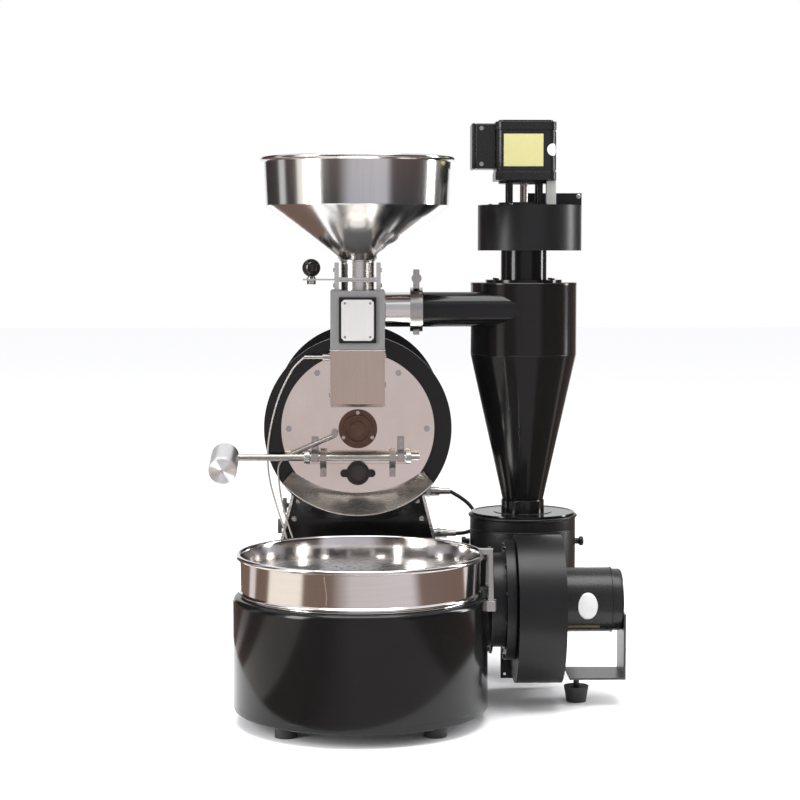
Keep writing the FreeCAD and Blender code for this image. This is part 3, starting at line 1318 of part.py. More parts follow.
sieve = Part.makeCylinder(SIZES["bowl_foot_radius"] - SIZES["bowl_wall"] - SIZES["seat_gap"],
                          SIZES["sieve_thick"])
holes = []
for ring in range(1, SIEVE_RINGS + 1):
    ring_radius = ring * SIZES["sieve_pitch"]
    for n in range(6 * ring):
        turn = math.tau * n / (6 * ring)
        centre = Vector(ring_radius * math.cos(turn), ring_radius * math.sin(turn), 0)
        holes.append(Part.makeCylinder(SIZES["sieve_hole"], SIZES["sieve_thick"], centre))
sieve_plate = doc.addObject("Part::Feature", "sieve_plate")
sieve_plate.Shape = sieve.cut(Part.makeCompound(holes))
place(sieve_plate, ("bin_place", "-bin_depth", "sieve_height"), "Z")

# The draw latch is drawn about the bin's own axis, then turned with its seat
middles[:] = ["0", "0", "0"]
PIN_X = "(bin_radius + latch_ear + latch_pin)"
ear_pieces = []
for side in (-1, 1):
    ear_pieces.append(block(f"latch_ear_{side + 1}", (
        "3 * latch_ear + latch_pin", "latch_ear / 2", "4 * latch_ear"),
        ("bin_radius - bin_wall / 2",
         f"{side} * (latch_width / 2 + latch_ear / 4) - latch_ear / 4",
         "latch_height - 2 * latch_ear")))
ear_pieces.append(cylinder("latch_pin_bar", "latch_pin", "latch_width + latch_ear",
                           (PIN_X, "latch_width / 2 + latch_ear / 2", "latch_height"), "-Y"))
latch_seat = joined("latch_seat", ear_pieces)
HOOK_IN = "bowl_rim_radius - latch_reach"
HOOK_LOW = "bowl_top + seat_gap"
latch_plate = padded("latch_plate", [
    (PIN_X + " - latch_arm", "latch_height - latch_arm"),
    (PIN_X + " - latch_pin", "latch_height - latch_tail"),
    (PIN_X, "latch_height - latch_tail"), (PIN_X + " + latch_arm", "latch_height"),
    (PIN_X + " + latch_arm / 2", HOOK_LOW + " + 2 * latch_arm"),
    (HOOK_IN, HOOK_LOW + " + 2 * latch_arm"),
    (HOOK_IN, HOOK_LOW), (PIN_X + " - latch_arm", HOOK_LOW)],
    "latch_width - 2 * seat_gap", ("0", "latch_width / 2 - seat_gap", "0"), FRONTWAYS)
latch_lever = cut("latch_lever", latch_plate, cylinder(
    "latch_hole", "latch_pin + running_gap", "latch_width + latch_ear",
    (PIN_X, "latch_width / 2 + latch_ear / 2", "latch_height"), "-Y"))
middles[:] = [MIDDLE_X, MIDDLE_Y, "0"]
latch_spin = Rotation(Vector(0, 0, 1), -SIZES["latch_turn"])
place(latch_seat, BIN_CENTRE, latch_spin)
place(latch_lever, BIN_CENTRE, latch_spin)
joined("bin_shell", [bin_open, latch_seat])

# Braces between the bin and the stand, and the shelf under the chaff can
braces = []
for side in (-1, 1):
    braces.append(cut(f"brace_{side + 1}", block(
        f"brace_bar_{side + 1}", ("tie_width", "bin_radius + stand_front", "tie_top - tie_base"),
        (f"bin_place + {side} * tie_spacing - tie_width / 2", "-bin_radius", "tie_base")),
        cylinder(f"brace_end_{side + 1}", BIN_SOLID[0], BIN_SOLID[1], BIN_SOLID[2])))
SHELF_LOW = "can_base - shelf_thick"
braces.append(padded("can_shelf", [
    (half_at("can_base"), "can_base"), ("cyclone_place + shelf_reach", "can_base"),
    ("cyclone_place + shelf_reach", SHELF_LOW), (half_at(SHELF_LOW), SHELF_LOW)],
    "2 * shelf_half", ("0", "cyclone_depth + shelf_half", "0"), FRONTWAYS))
group("brackets", braces)


# Cooling blower beside the bin
def on_blower(across, height="blower_height"):
    return (across, "-blower_depth", height)


throat = cut("throat", tube("throat_tube", "throat_radius", "throat_radius - fan_wall",
                            "duct_face - bin_place", THROAT_AT, "X"),
             cylinder("throat_end", BIN_SOLID[0], BIN_SOLID[1], BIN_SOLID[2]))
drum_end = f"{COVER_FACE} - duct_face"
duct_turned = spun("duct_turned", [
    ("0", "0"), ("duct_flange_radius", "0"), ("duct_flange_radius", "duct_flange_thick"),
    ("duct_drum_radius", "duct_flange_thick"), ("duct_drum_radius", drum_end),
    ("cover_radius", drum_end), ("cover_radius", drum_end + " + cover_thick", "rim_round"),
    ("inlet_radius", drum_end + " + cover_thick"), ("inlet_radius", drum_end + " + fan_wall"),
    ("duct_drum_radius - fan_wall", drum_end + " - fan_wall"),
    ("duct_drum_radius - fan_wall", "duct_flange_thick"), ("0", "duct_flange_thick")],
    on_blower("duct_face"), "X")
duct_open = cut("duct_open", duct_turned, cylinder(
    "duct_eye", "throat_radius - fan_wall", "duct_flange_thick",
    on_blower("duct_face", "throat_height"), "X"))
cover_heads = bolt_heads("cover_bolt", ring_places(
    on_blower(COVER_FACE), "(cover_radius - bolt_radius)", range(15, 375, 30), "YZ"),
    "-X", "small_bolt_radius", "small_bolt_height")
cover_heads += bolt_heads("duct_bolt", ring_places(
    on_blower("duct_face"), "(duct_flange_radius - bolt_radius)", range(0, 360, 45), "YZ"),
    "-X", "small_bolt_radius", "small_bolt_height")
joined("blower_duct", [throat, duct_open] + cover_heads)

BLOWER_TURN = Rotation(Vector(0, 0, -1), Vector(0, 1, 0), Vector(1, 0, 0))
blower_case = fan_casing("blower_case", SIZES["volute_radius"], SIZES["volute_growth"],
                         SIZES["volute_throat"], SIZES["volute_outlet_back"],
                         SIZES["volute_width"], on_blower(VOLUTE_FACE), BLOWER_TURN)
VOLUTE_REACH = "(volute_radius + volute_growth)"
OUTLET_DEPTH = "volute_outlet_back - blower_depth - flange_plate"
OUTLET_SIZE = ("(volute_width + 2 * outlet_border)", "flange_plate",
               VOLUTE_REACH + " - volute_throat + 2 * outlet_border")
OUTLET_LOW = (VOLUTE_FACE + " - outlet_border", OUTLET_DEPTH,
              "blower_height - outlet_border - " + VOLUTE_REACH)
blower_flange = cut(
    "blower_flange",
    block("blower_flange_plate", OUTLET_SIZE, OUTLET_LOW),
    *flange_holes("blower_flange_bolt", OUTLET_LOW, OUTLET_SIZE, "outlet_hole_inset"),
    block("blower_flange_hole",
          ("volute_width - 2 * fan_wall", "flange_plate",
           VOLUTE_REACH + " - volute_throat - 2 * fan_wall"),
          (VOLUTE_FACE + " + fan_wall", OUTLET_DEPTH,
           "blower_height + fan_wall - " + VOLUTE_REACH)))
cut("blower_volute", joined("blower_blank", [blower_case, blower_flange]),
    cylinder("blower_inlet", "inlet_radius", "fan_wall", on_blower(VOLUTE_FACE), "X"),
    cylinder("blower_shaft_hole", "fan_shaft_radius + fan_wall", "fan_wall",
             on_blower(BLOWER_MOTOR_FACE + " - fan_wall"), "X"))
fan_wheel("blower_impeller", "blower_wheel_radius", "blower_wheel_width", "(4 * fan_wall)",
          on_blower(BLOWER_MOTOR_FACE + " - seat_gap"), "-X", TURNS["-X"])

CAP_START = "blower_motor_length - cap_length"
spun("blower_motor", [
    ("0", "0"), ("blower_motor_radius", "0"), ("blower_motor_radius", CAP_START),
    ("cap_radius", CAP_START), ("cap_radius", "blower_motor_length", "rim_round"),
    ("0", "blower_motor_length")], on_blower(BLOWER_MOTOR_FACE), "X")
MOUNT_OUTER = MOUNT_FACE + " + mount_thick"
joined("motor_bracket", [
    block("bracket_upright", ("mount_thick", "2 * mount_half", "mount_top - mount_height"),
          (MOUNT_FACE, "-blower_depth - mount_half", "mount_height")),
    block("bracket_sole", ("mount_length", "2 * mount_half", "mount_thick"),
          (MOUNT_OUTER + " - mount_length", "-blower_depth - mount_half", "mount_height"))])

SUB_PARTS = (
    "drum_shell front_ring rear_plate faceplate shaft_bearings housing_bolts roasting_drum "
    "drum_shaft drum_sprocket motor_sprocket drive_chain gear_motor discharge_door sight_glass "
    "sight_ring door_shaft door_straps hinge_brackets counterweight discharge_bib chute_box "
    "lower_chute nameplate_frame hopper_bowl hopper_neck hopper_gate gate_knob duct_pipe "
    "pipe_clamp wing_nut cyclone_body exhaust_neck exhaust_volute exhaust_impeller "
    "motor_lantern exhaust_motor chaff_can can_lid stand_cabinet side_covers rubber_feet "
    "burner_tubes burner_knob air_knob gas_fittings gas_hose cable_upper cable_lower "
    "cable_fittings bin_shell cooling_bowl sieve_plate latch_lever brackets blower_duct "
    "blower_volute blower_impeller blower_motor motor_bracket").split()

doc.recompute()

failed = [obj.Name for obj in doc.Objects if {"Invalid", "Error"} & set(obj.State)]
if failed:
    raise SystemExit("not built: " + ", ".join(failed))
pieces = {}
for name in SUB_PARTS:
    piece = doc.getObject(name)
    piece.Label = name
    if piece.Shape.isNull() or not piece.Shape.isValid() or not piece.Shape.Solids:
        raise SystemExit(f"{name} has no sound shape")
    pieces[name] = piece

os.makedirs("parts", exist_ok=True)
for name, piece in pieces.items():
    piece.Shape.exportStep(f"parts/{name}.step")
    print(f"{name}: {len(piece.Shape.Solids)} solids, {piece.Shape.Volume / 1000:.1f} cm3")
print(f"{len(pieces)} sub-parts")
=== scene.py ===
"""Looks of a small gas drum coffee roaster: its finishes, trim, cables and studio."""

import logging
from collections.abc import Iterable, Sequence
from dataclasses import dataclass
from enum import Enum
from math import cos, pi, radians, sin, sqrt, tau

import bmesh
import bpy
from bpy.types import Material, Node, NodeSocket, NodeTree, Object, ShaderNodeTree
from mathutils import Matrix, Vector


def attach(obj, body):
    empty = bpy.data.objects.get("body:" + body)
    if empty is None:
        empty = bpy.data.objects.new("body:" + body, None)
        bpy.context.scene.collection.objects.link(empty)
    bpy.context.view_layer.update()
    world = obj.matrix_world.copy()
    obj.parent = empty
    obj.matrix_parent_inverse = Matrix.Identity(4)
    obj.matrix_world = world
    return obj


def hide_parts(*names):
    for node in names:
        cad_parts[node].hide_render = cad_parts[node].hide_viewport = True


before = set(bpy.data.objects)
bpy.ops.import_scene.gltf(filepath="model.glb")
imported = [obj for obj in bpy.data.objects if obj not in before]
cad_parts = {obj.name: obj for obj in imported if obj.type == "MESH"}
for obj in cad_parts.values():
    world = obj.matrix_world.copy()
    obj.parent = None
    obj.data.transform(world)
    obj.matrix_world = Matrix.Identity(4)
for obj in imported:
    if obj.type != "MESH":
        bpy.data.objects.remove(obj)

LOG = logging.getLogger("roaster")
Point = tuple[float, float, float]
Pair = tuple[float, float]
Colour = tuple[float, float, float]

MILLIMETRE = 0.001
MIDDLE = (81.0, 34.55)
FINE_STEPS = 144
SMALL_STEPS = 32
SMOOTH_ANGLE = radians(28)
GRAIN_HEIGHT = 0.0006


def at(x: float, y: float, z: float) -> Vector:
    """A point counted in millimetres from the drum's axis and faceplate, in the row frame."""
    return Vector((x - MIDDLE[0], y - MIDDLE[1], z)) * MILLIMETRE


def even(value: float) -> Point:
    """The same number three times: a grey, or a scale that is equal on every side."""
    return (value, value, value)


class Texture(Enum):
    """The surface effects that a finish can carry."""

    GRAIN = "Paint grain"
    STREAKS = "Sheet streaks"
    RINGS = "Turned rings"
    BRAID = "Woven sleeve"


@dataclass(frozen=True)
class Finish:
    """One material, with the numbers that its node groups and its shader take."""

    name: str
    slot: str
    colour: Colour
    worn: Colour
    roughness: float
    metallic: float = 0.0
    texture: Texture = Texture.GRAIN
    scale: Point = even(300.0)
    spread: float = 0.08
    bump: float = 0.05
    transmission: float = 0.0
    axis: Point = (0.0, 0.0, 1.0)
    centre: Point = even(0.0)
    gloss: float = 0.5


GLOSS_BLACK = Finish(
    "gloss_black_enamel", "black_enamel", (0.003, 0.003, 0.0032), (0.007, 0.007, 0.0075), 0.14,
    gloss=0.3, spread=0.05, bump=0.02, scale=even(420.0))
SATIN_BLACK = Finish(
    "satin_black_enamel", "black_enamel", (0.004, 0.004, 0.0045), (0.01, 0.01, 0.0105), 0.34,
    gloss=0.3, spread=0.1, bump=0.12, scale=even(650.0))
CAST_BLACK = Finish(
    "cast_black", "cast_black", even(0.005), even(0.013), 0.28,
    gloss=0.35, spread=0.1, bump=0.2, scale=even(500.0))
GREY_PAINT = Finish(
    "grey_paint", "grey_enamel", even(0.14), (0.17, 0.17, 0.168), 0.4,
    spread=0.06, bump=0.06, scale=even(700.0))
POLISHED = Finish(
    "polished_sheet", "polished_steel", (0.8, 0.78, 0.77), (0.64, 0.62, 0.6), 0.1, 1.0,
    Texture.STREAKS, (14.0, 14.0, 480.0), spread=0.05, bump=0.015)
HOPPER_SHEET = Finish(
    "hopper_sheet", "polished_steel", (0.76, 0.75, 0.745), (0.6, 0.59, 0.58), 0.14, 1.0,
    Texture.STREAKS, (210.0, 210.0, 6.0), spread=0.1, bump=0.03)
PLATE_SHEET = Finish(
    "plate_sheet", "polished_steel", (0.84, 0.8, 0.76), (0.6, 0.53, 0.47), 0.13, 1.0,
    Texture.STREAKS, (18.0, 18.0, 9.0), bump=0.01)
BRUSHED = Finish(
    "brushed_sheet", "polished_steel", (0.74, 0.73, 0.71), (0.6, 0.58, 0.56), 0.27, 1.0,
    Texture.STREAKS, (30.0, 30.0, 700.0), bump=0.02)
# Brown steel: on the lower chute its brown tone is painted reflection of a warm surrounding in the
# polished steel; the bowl's weld seam takes the same brown.
PAINTED_REFLECTION_AND_SEAM_SHEET = Finish(
    "painted_reflection_and_seam_sheet", "polished_steel", (0.6, 0.51, 0.44), (0.48, 0.4, 0.34), 0.26, 1.0,
    Texture.STREAKS, (240.0, 240.0, 8.0), bump=0.04)
NAME_SHEET = Finish(
    "name_sheet", "polished_steel", (0.62, 0.62, 0.61), (0.48, 0.48, 0.47), 0.42, 0.4,
    Texture.STREAKS, (700.0, 30.0, 30.0), bump=0.08)
MACHINED = Finish(
    "machined_steel", "machined_steel", (0.5, 0.48, 0.46), (0.3, 0.28, 0.26), 0.24, 1.0,
    spread=0.06, bump=0.008, scale=even(110.0))
HEATED = Finish(
    "heated_steel", "machined_steel", (0.2, 0.12, 0.085), (0.08, 0.05, 0.038), 0.36, 1.0,
    spread=0.16, bump=0.1, scale=even(120.0))
BRACKET_STEEL = Finish(
    "bracket_steel", "machined_steel", (0.1, 0.095, 0.095), (0.06, 0.055, 0.055), 0.3, 0.8,
    spread=0.12, bump=0.08, scale=even(220.0))
OLIVE_STRIP = Finish(
    "olive_strip", "machined_steel", (0.3, 0.25, 0.1), (0.2, 0.17, 0.07), 0.35, 0.7,
    bump=0.03, scale=even(200.0))
BRIGHT = Finish(
    "bright_fastener", "bright_trim", (0.58, 0.58, 0.575), (0.3, 0.3, 0.295), 0.2, 1.0,
    bump=0.03, scale=even(520.0))
ALUMINIUM = Finish(
    "turned_aluminium", "turned_aluminium", (0.78, 0.78, 0.79), (0.66, 0.66, 0.67), 0.3, 1.0,
    Texture.RINGS, (1500.0, 1.0, 1.0), spread=0.1, bump=0.6,
    axis=(0.0, -0.9659, -0.2588), centre=(-0.272, -0.0518, 0.3401))
CHAIN_STEEL = Finish(
    "chain_steel", "chain_steel", (0.22, 0.21, 0.2), (0.1, 0.09, 0.08), 0.34, 0.9,
    spread=0.2, bump=0.15, scale=even(400.0))
SLEEVE = Finish(
    "cable_sleeve", "cable_sleeve", (0.55, 0.53, 0.5), (0.32, 0.31, 0.29), 0.42, 0.6,
    Texture.BRAID, even(1400.0), spread=0.15, bump=0.5)
RUBBER = Finish(
    "moulded_rubber", "black_rubber", even(0.016), even(0.03), 0.62,
    spread=0.1, bump=0.25, scale=even(900.0))
HOSE_RUBBER = Finish(
    "hose_rubber", "black_rubber", even(0.012), even(0.025), 0.4,
    texture=Texture.BRAID, bump=0.3, scale=even(900.0))
KNOB_PLASTIC = Finish(
    "ball_plastic", "black_plastic", (0.006, 0.005, 0.005), (0.009, 0.008, 0.008), 0.1,
    gloss=0.45, spread=0.03, bump=0.01, scale=even(200.0))
DULL_PLASTIC = Finish(
    "dull_plastic", "matte_plastic", even(0.02), even(0.035), 0.5, bump=0.15, scale=even(800.0))
GREY_PLASTIC = Finish(
    "grey_plastic", "matte_plastic", (0.46, 0.46, 0.44), (0.38, 0.38, 0.36), 0.5,
    bump=0.1, scale=even(500.0))
YELLOW_LABEL = Finish(
    "pale_label", "matte_plastic", (0.52, 0.48, 0.22), (0.4, 0.38, 0.17), 0.38,
    spread=0.05, bump=0.02, scale=even(150.0))
WHITE_LABEL = Finish(
    "white_label", "matte_plastic", (0.7, 0.7, 0.69), (0.62, 0.62, 0.61), 0.4,
    spread=0.05, bump=0.02, scale=even(150.0))
DARK_GLASS = Finish(
    "dark_glass", "dark_glass", (0.02, 0.016, 0.014), (0.03, 0.022, 0.018), 0.06,
    spread=0.03, bump=0.005, scale=even(60.0), transmission=0.25)

DRESSED = {
    GLOSS_BLACK: ("front_ring", "rear_plate", "duct_pipe", "exhaust_neck", "stand_cabinet"),
    SATIN_BLACK: ("drum_shell", "nameplate_frame", "exhaust_volute", "brackets", "blower_duct",
                  "blower_volute"),
    CAST_BLACK: ("gear_motor", "sight_ring", "motor_lantern"),
    PLATE_SHEET: ("faceplate", "discharge_door"),
    BRUSHED: ("hopper_neck", "hopper_gate", "discharge_bib", "side_covers", "sieve_plate"),
    # The lower chute's brown colour is painted reflection in polished steel.
    PAINTED_REFLECTION_AND_SEAM_SHEET: ("lower_chute",),
    MACHINED: ("door_shaft", "door_straps", "hinge_brackets", "drum_sprocket", "motor_sprocket",
               "exhaust_impeller", "blower_impeller", "gas_fittings", "cable_fittings"),
    HEATED: ("shaft_bearings", "roasting_drum", "drum_shaft", "burner_tubes"),
    BRACKET_STEEL: ("motor_bracket",),
    BRIGHT: ("housing_bolts", "pipe_clamp", "wing_nut", "latch_lever"),
    CHAIN_STEEL: ("drive_chain",),
    RUBBER: ("rubber_feet",),
    DULL_PLASTIC: ("burner_knob", "air_knob"),
    DARK_GLASS: ("sight_glass",),
}


class Graph:
    """Adds and joins nodes in one node tree."""

    def __init__(self, tree: NodeTree) -> None:
        """Keep the tree that the nodes go into."""
        self.tree = tree

    def add(self, kind: str, settings: dict[str, object] | None = None, **values: object) -> Node:
        """Add one node.

        Args:
            kind: the node's type name in Blender.
            settings: properties of the node itself, such as its operation.
            values: numbers, colours or sockets for its inputs; an underscore stands for a space.

        Returns:
            The new node.
        """
        node = self.tree.nodes.new(kind)
        for key, setting in (settings or {}).items():
            setattr(node, key, setting)
        self.feed(node, {key.replace("_", " "): value for key, value in values.items()})
        return node

    def feed(self, node: Node, values: dict[str | int, object]) -> None:
        """Join a node's inputs to other sockets, or give them plain values."""
        for key, value in values.items():
            if isinstance(value, NodeSocket):
                self.tree.links.new(value, node.inputs[key])
            else:
                node.inputs[key].default_value = value

    def sum(self, operation: str, first: object, second: object) -> NodeSocket:
        """The result of one arithmetic step on two numbers or sockets."""
        node = self.add("ShaderNodeMath", {"operation": operation})
        self.feed(node, {0: first, 1: second})
        return node.outputs[0]

    def vector(self, operation: str, first: object, second: object) -> NodeSocket:
        """The result of one vector step on two vectors or sockets."""
        node = self.add("ShaderNodeVectorMath", {"operation": operation})
        self.feed(node, {0: first, 1: second})
        return node.outputs[0]

    def mix(self, blend: str, factor: object, first: object, second: object) -> NodeSocket:
        """Two colours blended by a factor."""
        node = self.add("ShaderNodeMix", {"data_type": "RGBA", "blend_type": blend})
        self.feed(node, {"Factor": factor, 6: first, 7: second})
        return node.outputs[2]

    def place(self) -> NodeSocket:
        """The place of a surface point in its object."""
        return self.add("ShaderNodeTexCoord").outputs["Object"]


def blank_material(name: str) -> tuple[Material, Graph, Node]:
    """A new material, with its graph and its shader."""
    material = bpy.data.materials.new(name)
    material.use_nodes = True
    return material, Graph(material.node_tree), material.node_tree.nodes["Principled BSDF"]


def placed(name: str, data: bpy.types.ID) -> Object:
    """A new object in the scene that holds this data."""
    thing = bpy.data.objects.new(name, data)
    bpy.context.scene.collection.objects.link(thing)
    return thing


class Finishes:
    """Builds each node group and each material once."""

    inputs = {"Colour": "Color", "Worn colour": "Color", "Roughness": "Float", "Spread": "Float",
              "Scale": "Vector", "Ring scale": "Float", "Axis": "Vector", "Centre": "Vector"}
    outputs = {"Colour": "Color", "Roughness": "Float", "Height": "Float"}

    def __init__(self) -> None:
        """Make the groups that the materials share."""
        self.groups = {texture: self.texture_group(texture) for texture in Texture}
        self.made: dict[str, Material] = {}

    def pattern(self, graph: Graph, texture: Texture, source: Node) -> NodeSocket:
        """The value of a texture over the surface, about 0 to 1.

        Args:
            graph: the group's own tree.
            texture: which effect is wanted.
            source: the group's input node.

        Returns:
            The socket that carries the value.
        """
        if texture is Texture.RINGS:
            offset = graph.vector("SUBTRACT", graph.place(), source.outputs["Centre"])
            across = graph.vector("CROSS_PRODUCT", offset, source.outputs["Axis"])
            reach = graph.add("ShaderNodeVectorMath", {"operation": "LENGTH"}, Vector=across)
            phase = graph.sum("MULTIPLY", reach.outputs["Value"], source.outputs["Ring scale"])
            return graph.sum("MULTIPLY_ADD", graph.sum("SINE", phase, 0.0), 0.5)
        stretched = graph.vector("MULTIPLY", graph.place(), source.outputs["Scale"])
        if texture is Texture.BRAID:
            waves = [graph.add("ShaderNodeTexWave", {"bands_direction": direction},
                               Vector=stretched, Scale=0.35, Distortion=1.5).outputs["Fac"]
                     for direction in ("X", "Z")]
            return graph.sum("MULTIPLY", *waves)
        return graph.add("ShaderNodeTexNoise", Vector=stretched, Scale=1.0, Detail=4.0,
                         Roughness=0.6).outputs["Fac"]

    def texture_group(self, texture: Texture) -> ShaderNodeTree:
        """One shared effect: a varied colour, a varied roughness and a height."""
        tree = bpy.data.node_groups.new(texture.value, "ShaderNodeTree")
        for way, sockets in (("INPUT", self.inputs), ("OUTPUT", self.outputs)):
            for name, kind in sockets.items():
                tree.interface.new_socket(name, in_out=way, socket_type="NodeSocket" + kind)
        graph = Graph(tree)
        source = graph.add("NodeGroupInput")
        value = self.pattern(graph, texture, source)
        smudge = graph.add("ShaderNodeTexNoise", Vector=graph.place(), Scale=9.0, Detail=3.0,
                           Distortion=0.4).outputs["Fac"]
        mixed = graph.sum("MULTIPLY", graph.sum("ADD", value, smudge), 0.5)
        colour = graph.mix("MIX", mixed, source.outputs["Colour"], source.outputs["Worn colour"])
        centred = graph.sum("SUBTRACT", mixed, 0.5)
        shift = graph.sum("MULTIPLY", centred, source.outputs["Spread"])
        rough = graph.sum("ADD", source.outputs["Roughness"], graph.sum("MULTIPLY", shift, 2.0))
        graph.add("NodeGroupOutput", Colour=colour, Roughness=rough, Height=value)
        return tree

    def material(self, finish: Finish) -> Material:
        """The material of one finish, built the first time it is asked for.

        Args:
            finish: the finish to build.

        Returns:
            The finished material.
        """
        if finish.name in self.made:
            return self.made[finish.name]
        material, graph, shader = blank_material(finish.name)
        material.diffuse_color = (*finish.colour, 1.0)
        effect = graph.add("ShaderNodeGroup", {"node_tree": self.groups[finish.texture]})
        graph.feed(effect, {
            "Colour": (*finish.colour, 1.0), "Worn colour": (*finish.worn, 1.0),
            "Roughness": finish.roughness, "Spread": finish.spread, "Scale": finish.scale,
            "Ring scale": finish.scale[0] * 4.0, "Axis": finish.axis, "Centre": finish.centre})
        bump = graph.add("ShaderNodeBump", Strength=finish.bump, Distance=GRAIN_HEIGHT,
                         Height=effect.outputs["Height"])
        graph.feed(shader, {
            "Base Color": effect.outputs["Colour"], "Roughness": effect.outputs["Roughness"],
            "Normal": bump.outputs["Normal"], "Metallic": finish.metallic,
            "Specular IOR Level": finish.gloss, "Transmission Weight": finish.transmission})
        self.made[finish.name] = material
        return material

    def dress(self, finish: Finish, *nodes: str) -> None:
        """Give CAD nodes this finish, in place of their plain materials."""
        material = self.material(finish)
        for name in nodes:
            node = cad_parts[name]
            if not node.material_slots:
                node.data.materials.append(material)
            for slot in node.material_slots:
                slot.link = "OBJECT"
                slot.material = material
            LOG.info("dressed %s with %s", name, finish.name)


FINISHES = Finishes()


class Shape:
    """A mesh under construction, which ends as one dressed piece."""

    def __init__(self, name: str) -> None:
        """Start an empty mesh."""
        self.name = name
        self.mesh = bmesh.new()

    def turned(self, profile: Sequence[Pair], centre: Point, axis: Point = (0, 0, 1),
               steps: int = FINE_STEPS) -> "Shape":
        """Turn an outline about an axis.

        Args:
            profile: radius and height pairs in millimetres, in order round the outline.
            centre: the axis's start, in millimetres.
            axis: the direction that heights run along.
            steps: how many facets go round.

        Returns:
            This shape.
        """
        turn = Vector((0, 0, 1)).rotation_difference(Vector(axis)).to_matrix()
        start = at(*centre)
        rings: list[list[bmesh.types.BMVert]] = []
        for radius, height in profile:
            ring = []
            for n in range(1 if radius < 1e-6 else steps):
                angle = tau * n / steps
                local = Vector((radius * cos(angle), radius * sin(angle), height))
                ring.append(self.mesh.verts.new(start + turn @ (local * MILLIMETRE)))
            rings.append(ring)
        for low, high in zip(rings, rings[1:] + rings[:1]):
            if len(low) == 1 and len(high) == 1:
                continue
            for n in range(steps):
                corners = [low[n % len(low)], low[(n + 1) % len(low)],
                           high[(n + 1) % len(high)], high[n % len(high)]]
                unique = list(dict.fromkeys(corners))
                if len(unique) > 2:
                    self.mesh.faces.new(unique)
        return self

    def prism(self, outline: Sequence[Pair], low: float, high: float, axis: str) -> "Shape":
        """Extrude an outline along X, Y or Z.

        Args:
            outline: corners in the two other axes' order, in millimetres.
            low: where the prism starts along its axis.
            high: where it ends.
            axis: the axis that it runs along.

        Returns:
            This shape.
        """
        def corner(pair: Pair, depth: float) -> Vector:
            spots = {"X": (depth, *pair), "Y": (pair[0], depth, pair[1]), "Z": (*pair, depth)}
            return at(*spots[axis])

        ends = [[self.mesh.verts.new(corner(pair, depth)) for pair in outline]
                for depth in (low, high)]
        for end in ends:
            self.mesh.faces.new(end)
        count = len(outline)
        for n in range(count):
            after = (n + 1) % count
            self.mesh.faces.new([ends[0][n], ends[0][after], ends[1][after], ends[1][n]])
        return self

    def block(self, low: Point, high: Point) -> "Shape":
        """A box between two corners, in millimetres."""
        outline = [(low[0], low[1]), (high[0], low[1]), (high[0], high[1]), (low[0], high[1])]
        return self.prism(outline, low[2], high[2], "Z")

    def patch(self, spots: Sequence[Sequence[Vector]]) -> "Shape":
        """A curved sheet through rows of points in the row frame."""
        rows = [[self.mesh.verts.new(spot) for spot in row] for row in spots]
        for low, high in zip(rows, rows[1:]):
            for n in range(len(low) - 1):
                self.mesh.faces.new([low[n], low[n + 1], high[n + 1], high[n]])
        return self

    def piece(self, finish: Finish, body: str = "base", replaces: Iterable[str] = (),
              bevel: float = 0.0, thick: float = 0.0) -> None:
        """End the mesh as an object that rides on a CAD body.

        Args:
            finish: the material it takes.
            body: the CAD body that it moves with.
            replaces: the CAD nodes that it stands for.
            bevel: the rounding of its sharp edges, in millimetres, or none.
            thick: the thickness given to an open sheet, in millimetres.
        """
        bmesh.ops.recalc_face_normals(self.mesh, faces=self.mesh.faces)
        mesh = bpy.data.meshes.new(self.name)
        self.mesh.to_mesh(mesh)
        self.mesh.free()
        mesh.shade_smooth()
        mesh.set_sharp_from_angle(angle=SMOOTH_ANGLE)
        piece = placed(self.name, mesh)
        mesh.materials.append(FINISHES.material(finish))
        if thick:
            sheet = piece.modifiers.new("Thickness", "SOLIDIFY")
            sheet.thickness = thick * MILLIMETRE
            sheet.offset = 1.0
        if bevel:
            edge = piece.modifiers.new("Rounded edges", "BEVEL")
            edge.width = bevel * MILLIMETRE
            edge.segments = 2
            edge.limit_method = "ANGLE"
            edge.angle_limit = SMOOTH_ANGLE
            edge.harden_normals = True
        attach(piece, body)
        if replaces:
            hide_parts(*replaces)
        LOG.info("built %s", self.name)


def rod(radius: float, low: float, high: float) -> list[Pair]:
    """The outline of a plain round rod between two heights."""
    return [(0, low), (radius, low), (radius, high), (0, high)]


def screws(name: str, places: Iterable[Point], axis: Point, radius: float, height: float,
           socket: bool = False) -> None:
    """One piece of screw heads on washers: hexagons, or round heads with a socket.

    Args:
        name: the piece's name.
        places: where each washer sits, in millimetres.
        axis: the direction in which the heads stand out.
        radius: the head's radius.
        height: the head's height.
        socket: whether the heads are round and have a socket.
    """
    rim, low = radius * 1.3, height * 0.14
    head = [(0, low), (radius, low), (radius, height * 0.8), (radius * 0.82, height)]
    if socket:
        head += [(radius * 0.5, height), (radius * 0.45, height * 0.5), (0, height * 0.5)]
    else:
        head += [(radius * 0.4, height * 1.04), (0, height * 1.05)]
    shape = Shape(name)
    for place in places:
        shape.turned(rod(rim, 0, low), place, axis, SMALL_STEPS)
        shape.turned(head, place, axis, SMALL_STEPS if socket else 6)
    shape.piece(BRIGHT, bevel=0.0 if socket else 0.2)


def arc(centre: Pair, radius: float, start: float, end: float, count: int = 8) -> list[Pair]:
    """Points along an arc, as radius and height pairs.

    Args:
        centre: the arc's middle.
        radius: its radius.
        start: its first angle in degrees.
        end: its last angle in degrees.
        count: how many steps it has.

    Returns:
        The points, both ends among them.
    """
    turns = [radians(start + (end - start) * n / count) for n in range(count + 1)]
    return [(centre[0] + radius * cos(t), centre[1] + radius * sin(t)) for t in turns]


